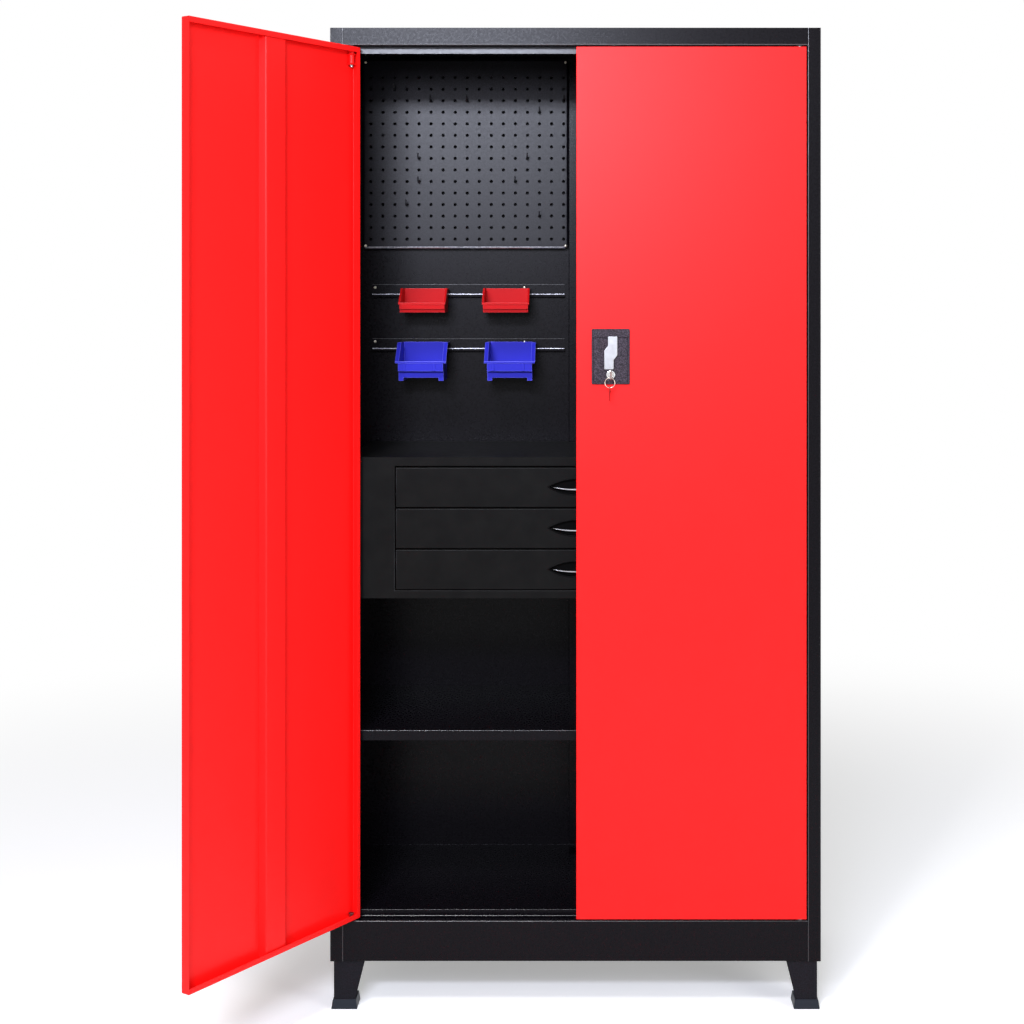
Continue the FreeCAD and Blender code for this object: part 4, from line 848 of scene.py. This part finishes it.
def lock_plate_rim():
    """The raised border of the lock's plate: a deep band at the top and a narrow one elsewhere."""
    low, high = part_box("lock_escutcheon")
    inset, band, rise = 3.4 * MM, 15 * MM, 1.5 * MM

    def rectangle(x0, x1, z0, z1, y):
        return [(x0, y, z0), (x1, y, z0), (x1, y, z1), (x0, y, z1)]

    def ring(shrink, y):
        """The plate's outline, drawn in by a distance."""
        return rectangle(low.x + shrink, high.x - shrink, low.z + shrink, high.z - shrink, y)

    def field(shrink, y):
        """The outline of the sunk field, drawn in by a distance."""
        x0, x1 = low.x + inset + shrink, high.x - inset - shrink
        return rectangle(x0, x1, low.z + inset + shrink, high.z - band - shrink, y)

    shape = bmesh.new()
    back, front = low.y + 0.3 * MM, low.y - rise
    edge = 0.5 * MM
    rings = [
        ring(edge, back),
        ring(edge, front + edge),
        ring(2 * edge, front),
        field(-edge, front),
        field(0, front + edge),
        field(edge, back),
    ]
    loft(shape, rings, closed=True)
    add_piece(shape, "lock_plate_rim", "lock_escutcheon", stands_for=False)


# The spare key's cuts, from its bow to its tip, as (place, depth) in shares of the blade.
KEY_CUTS = (
    (0.12, 0),
    (0.22, 0.35),
    (0.34, 0.1),
    (0.46, 0.45),
    (0.58, 0.2),
    (0.7, 0.5),
    (0.82, 0.15),
    (0.93, 0.6),
)
KEY_CUT_DEPTH = 0.6
KEY_BOW_STEPS = 32
KEY_HOLE_SIDES = 16


def flat_key(shape, x, y, bow_z, bow_radius, hole, blade, thickness):
    """A key that hangs across X: a bow with a hole, and below it a blade with cuts in one edge.

    hole is (y, z, radius), and blade is (half its width, z of its tip).
    """
    half, low = blade
    hole_y, hole_z, hole_radius = hole
    start = math.asin(half / bow_radius)
    arc = [
        start - math.pi / 2 + (2 * math.pi - 2 * start) * i / KEY_BOW_STEPS
        for i in range(KEY_BOW_STEPS + 1)
    ]
    outline = [(y + bow_radius * math.cos(t), bow_z + bow_radius * math.sin(t)) for t in arc]
    top = outline[-1][1]
    length = top - low
    outline += [
        (y - half + 2 * half * depth * KEY_CUT_DEPTH, top - length * down)
        for down, depth in KEY_CUTS
    ]
    outline += [(y, low), (y + half, low + half)]
    ring = [(hole_y + a, hole_z + b) for a, b in circle(hole_radius, KEY_HOLE_SIDES)]
    edges = []
    for loop in (outline, ring):
        verts = [shape.verts.new((x - thickness / 2, py, pz)) for py, pz in loop]
        edges += [shape.edges.new((a, b)) for a, b in zip(verts, verts[1:] + verts[:1])]
    filled = bmesh.ops.triangle_fill(shape, edges=edges, use_beauty=True)
    faces = [item for item in filled["geom"] if isinstance(item, bmesh.types.BMFace)]
    raised = bmesh.ops.extrude_face_region(shape, geom=faces)
    lifted = [item for item in raised["geom"] if isinstance(item, bmesh.types.BMVert)]
    bmesh.ops.translate(shape, vec=(thickness, 0, 0), verts=lifted)


def keys():
    """The spare key on a split ring of two turns."""
    low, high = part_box("key_ring")
    centre = (low + high) / 2
    wire_radius, steps = 0.75 * MM, 96
    radius = (high.x - low.x) / 2 - wire_radius
    shape = bmesh.new()
    helix = []
    for i in range(steps + 1):
        turn = 4 * math.pi * i / steps
        x, z = centre.x + radius * math.cos(turn), centre.z + radius * math.sin(turn)
        y = centre.y + (i / steps - 0.5) * 2 * wire_radius
        helix.append(Vector((x, y, z)))
    wire(shape, helix, wire_radius, sides=8)
    add_piece(shape, "key_ring_split", "key_ring", RING_STEEL)

    low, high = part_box("spare_key")
    x, y = (low.x + high.x) / 2, (low.y + high.y) / 2
    bow_radius = (high.y - low.y) / 2
    bow_z = high.z - bow_radius
    hole_rise, hole_radius, blade_half = 3.6 * MM, 2.4 * MM, 2.5 * MM
    hole = (y, bow_z + hole_rise, hole_radius)
    shape = bmesh.new()
    flat_key(shape, x, y, bow_z, bow_radius, hole, (blade_half, low.z), high.x - low.x)
    add_piece(shape, "spare_key_cut", "spare_key", SPARE_KEY_SHADE)


# ---------------------------------------------------------------- bins


BIN_ROUND = 0.8 * MM
BIN_WALL = 2 * MM
RIB_PLACES = (-33, 27)  # mm from the bin's middle
RIB_HALF, RIB_PROUD = 3.5 * MM, 1.4 * MM
RIB_CHAMFER, RIB_ROOT = 0.6 * MM, 0.5 * MM
RIB_BOTTOM, RIB_TOP = (6 + 14.2) * MM, (6 + 28.8) * MM


def storage_bin(node):
    """A moulded bin with rounded edges, painted lighter than the bin as a highlight; a blue one has
    ribs beside its label field.
    """
    shape = clean_copy(node)
    bevel(shape, sharp_edges(shape), BIN_ROUND, 2, 1)
    if node.startswith("blue"):
        low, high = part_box(node)
        middle = (low.x + high.x) / 2
        face = low.y + BIN_WALL
        for place in RIB_PLACES:
            centre = middle + place * MM
            section = [
                (centre - RIB_HALF, face + RIB_ROOT),
                (centre - RIB_HALF, face - RIB_PROUD + RIB_CHAMFER),
                (centre - RIB_HALF + RIB_CHAMFER, face - RIB_PROUD),
                (centre + RIB_HALF - RIB_CHAMFER, face - RIB_PROUD),
                (centre + RIB_HALF, face - RIB_PROUD + RIB_CHAMFER),
                (centre + RIB_HALF, face + RIB_ROOT),
            ]
            ends = low.z + RIB_BOTTOM, low.z + RIB_TOP
            loft(shape, [[(x, y, z) for x, y in section] for z in ends])
    add_piece(shape, f"{node}_moulded", node, bends=BIN_EDGE_HIGHLIGHTS[SLOT_OF[node]])


# ---------------------------------------------------------------- the object

dress_nodes()
for sheet_node in FOLDED_NODES:
    fold_sheet(sheet_node)
for board_node, board_side in (("left_pegboard", -1), ("right_pegboard", 1)):
    pegboard(board_node, board_side)
rail_edges()
riser_foot()
hooks()
screws()
for hinge_side in ("left", "right"):
    hinge_sleeve(hinge_side)
    soften(f"{hinge_side}_hinge_pins", 0.5 * MM, material=PIN_STEEL)
for drawer_name in DRAWERS:
    fold_sheet(f"{drawer_name}_front")
    fold_sheet(f"{drawer_name}_tray")
    drawer_pull(drawer_name)
lock_plate_rim()
lock_lever()
keys()
for cast_node, cast_round in (
    ("lock_escutcheon", 0.6 * MM),
    ("lock_housing", 0.8 * MM),
    ("lock_cylinder", 0.6 * MM),
    ("rod_guides", 0.5 * MM),
    ("foot_caps", 1.2 * MM),
    ("lock_cam", 0.3 * MM),
    ("upper_lock_rod", 0.3 * MM),
    ("lower_lock_rod", 0.3 * MM),
):
    soften(cast_node, cast_round)
soften("key_plug", 0.2 * MM, material=PLUG_STEEL)
soften("door_key", 0.25 * MM, material=DOOR_KEY_SHADE)
for bin_node in BINS:
    storage_bin(bin_node)

# ---------------------------------------------------------------- stage

FLOOR_REACH = 12
FLOOR_GLOW = 0.34  # a glow over the lit floor, for the camera only
FLOOR_WHITE = 0.92
FADE_START, FADE_END = 1.2, 3.2  # how far from the middle the floor turns to plain white
WORLD_LIGHT = 0.3

# Each lamp: name, place, target, width, height, watts, colour.
COOL, COOLER, WHITE = (0.8, 0.84, 1.0), (0.78, 0.8, 1.0), (1, 1, 1)
LAMPS = (
    ("strip_light", (-0.5, -3.3, 2.27), (0, 0, 1.0), 1.05, 0.3, 92, COOL),
    ("key_light", (-0.45, -3.3, 1.78), (0, 0, 1.0), 1.1, 0.5, 16, COOLER),
    ("top_light", (-0.8, -2.6, 3.9), (0, 0, 0.6), 0.5, 0.5, 66, WHITE),
    ("fill_light", (2.4, -2.2, 1.4), (-0.5, 0, 0.9), 1.2, 1.8, 36, WHITE),
    ("back_light", (0.7, 3.6, 1.9), (0, 0.2, 0.9), 1.2, 1.2, 14, WHITE),
)


def background_rays(tree):
    """1 for camera, mirror and glass rays, 0 for the rays that light the object."""
    path = tree.nodes.new("ShaderNodeLightPath")
    either = path.outputs["Is Camera Ray"]
    for ray in ("Is Glossy Ray", "Is Transmission Ray"):
        most = tree.nodes.new("ShaderNodeMath")
        most.operation = "MAXIMUM"
        tree.links.new(either, most.inputs[0])
        tree.links.new(path.outputs[ray], most.inputs[1])
        either = most.outputs[0]
    return either


def mixed(tree, share, first, second):
    """first where share is 0, second where it is 1."""
    mix = tree.nodes.new("ShaderNodeMixShader")
    tree.links.new(share, mix.inputs[0])
    tree.links.new(first, mix.inputs[1])
    tree.links.new(second, mix.inputs[2])
    return mix.outputs[0]


def emission(tree, strength):
    """A white glow."""
    glow = tree.nodes.new("ShaderNodeEmission")
    glow.inputs["Color"].default_value = (1, 1, 1, 1)
    glow.inputs["Strength"].default_value = strength
    return glow.outputs[0]


def floor_material():
    """White paper: the camera sees the shadow near the object and plain white further out."""
    shader = Shader("floor_white", (0.8, 0.8, 0.8), 0.95, specular=0.0)
    tree = shader.tree
    out = tree.nodes["Material Output"]
    grain = shader.noise(2 * MM)
    shader.bump(grain, 0.02 * MM, 0.2)
    layer = tree.nodes.new("ShaderNodeBsdfDiffuse")
    layer.inputs["Color"].default_value = (FLOOR_WHITE, FLOOR_WHITE, FLOOR_WHITE, 1)
    both = tree.nodes.new("ShaderNodeAddShader")
    tree.links.new(emission(tree, FLOOR_GLOW), both.inputs[0])
    tree.links.new(layer.outputs[0], both.inputs[1])
    paper = both.outputs[0]
    distance = tree.nodes.new("ShaderNodeVectorMath")
    distance.operation = "LENGTH"
    tree.links.new(shader.place, distance.inputs[0])
    fade = tree.nodes.new("ShaderNodeMapRange")
    fade.interpolation_type = "SMOOTHSTEP"
    fade.inputs["From Min"].default_value = FADE_START
    fade.inputs["From Max"].default_value = FADE_END
    tree.links.new(distance.outputs["Value"], fade.inputs["Value"])
    seen = mixed(tree, fade.outputs["Result"], paper, emission(tree, 1))
    lit = shader.surface.outputs[0]
    tree.links.new(mixed(tree, background_rays(tree), lit, seen), out.inputs["Surface"])
    return shader.material


def white_floor():
    """A plain floor, wide enough to fill the view."""
    reach = FLOOR_REACH
    mesh = bpy.data.meshes.new("floor")
    corners = [(-reach, -reach, 0), (reach, -reach, 0), (reach, reach, 0), (-reach, reach, 0)]
    mesh.from_pydata(corners, [], [(0, 1, 2, 3)])
    mesh.materials.append(floor_material())
    sheet = bpy.data.objects.new("floor", mesh)
    bpy.context.scene.collection.objects.link(sheet)


def white_world():
    """A world that lights the object evenly and is white for camera, mirror and glass rays."""
    world = bpy.data.worlds.new("studio")
    bpy.context.scene.world = world
    world.use_nodes = True
    tree = world.node_tree
    tree.nodes.clear()
    out = tree.nodes.new("ShaderNodeOutputWorld")
    shades = []
    for strength in (WORLD_LIGHT, 1):
        shade = tree.nodes.new("ShaderNodeBackground")
        shade.inputs["Color"].default_value = (1, 1, 1, 1)
        shade.inputs["Strength"].default_value = strength
        shades.append(shade.outputs[0])
    tree.links.new(mixed(tree, background_rays(tree), *shades), out.inputs["Surface"])


def softbox(name, place, target, width, height, power, colour):
    """A rectangular area lamp of that size in metres, aimed at target."""
    lamp = bpy.data.lights.new(name, "AREA")
    lamp.shape = "RECTANGLE"
    lamp.size = width
    lamp.size_y = height
    lamp.energy = power
    lamp.color = colour
    holder = bpy.data.objects.new(name, lamp)
    bpy.context.scene.collection.objects.link(holder)
    holder.location = place
    holder.rotation_euler = (Vector(target) - Vector(place)).to_track_quat("-Z", "Y").to_euler()


def camera():
    """The photograph's eye: level, in front of the cabinet's middle, with a shifted frame."""
    view = bpy.data.cameras.new("camera")
    view.sensor_width = SENSOR
    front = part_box("top_panel")[0].y
    focal_pixels = PIXELS_PER_METRE * (front - EYE.y)
    view.lens = focal_pixels / PHOTO_PIXELS * SENSOR
    view.shift_x = (PHOTO_PIXELS / 2 - AXIS_PIXEL) / PHOTO_PIXELS
    view.shift_y = (HORIZON_PIXEL - PHOTO_PIXELS / 2) / PHOTO_PIXELS
    holder = bpy.data.objects.new("camera", view)
    holder.location = EYE
    holder.rotation_euler = (math.pi / 2, 0, 0)
    bpy.context.scene.collection.objects.link(holder)
    bpy.context.scene.camera = holder


white_floor()
white_world()
for lamp_row in LAMPS:
    softbox(*lamp_row)
camera()

bpy.context.scene.view_settings.view_transform = "Standard"
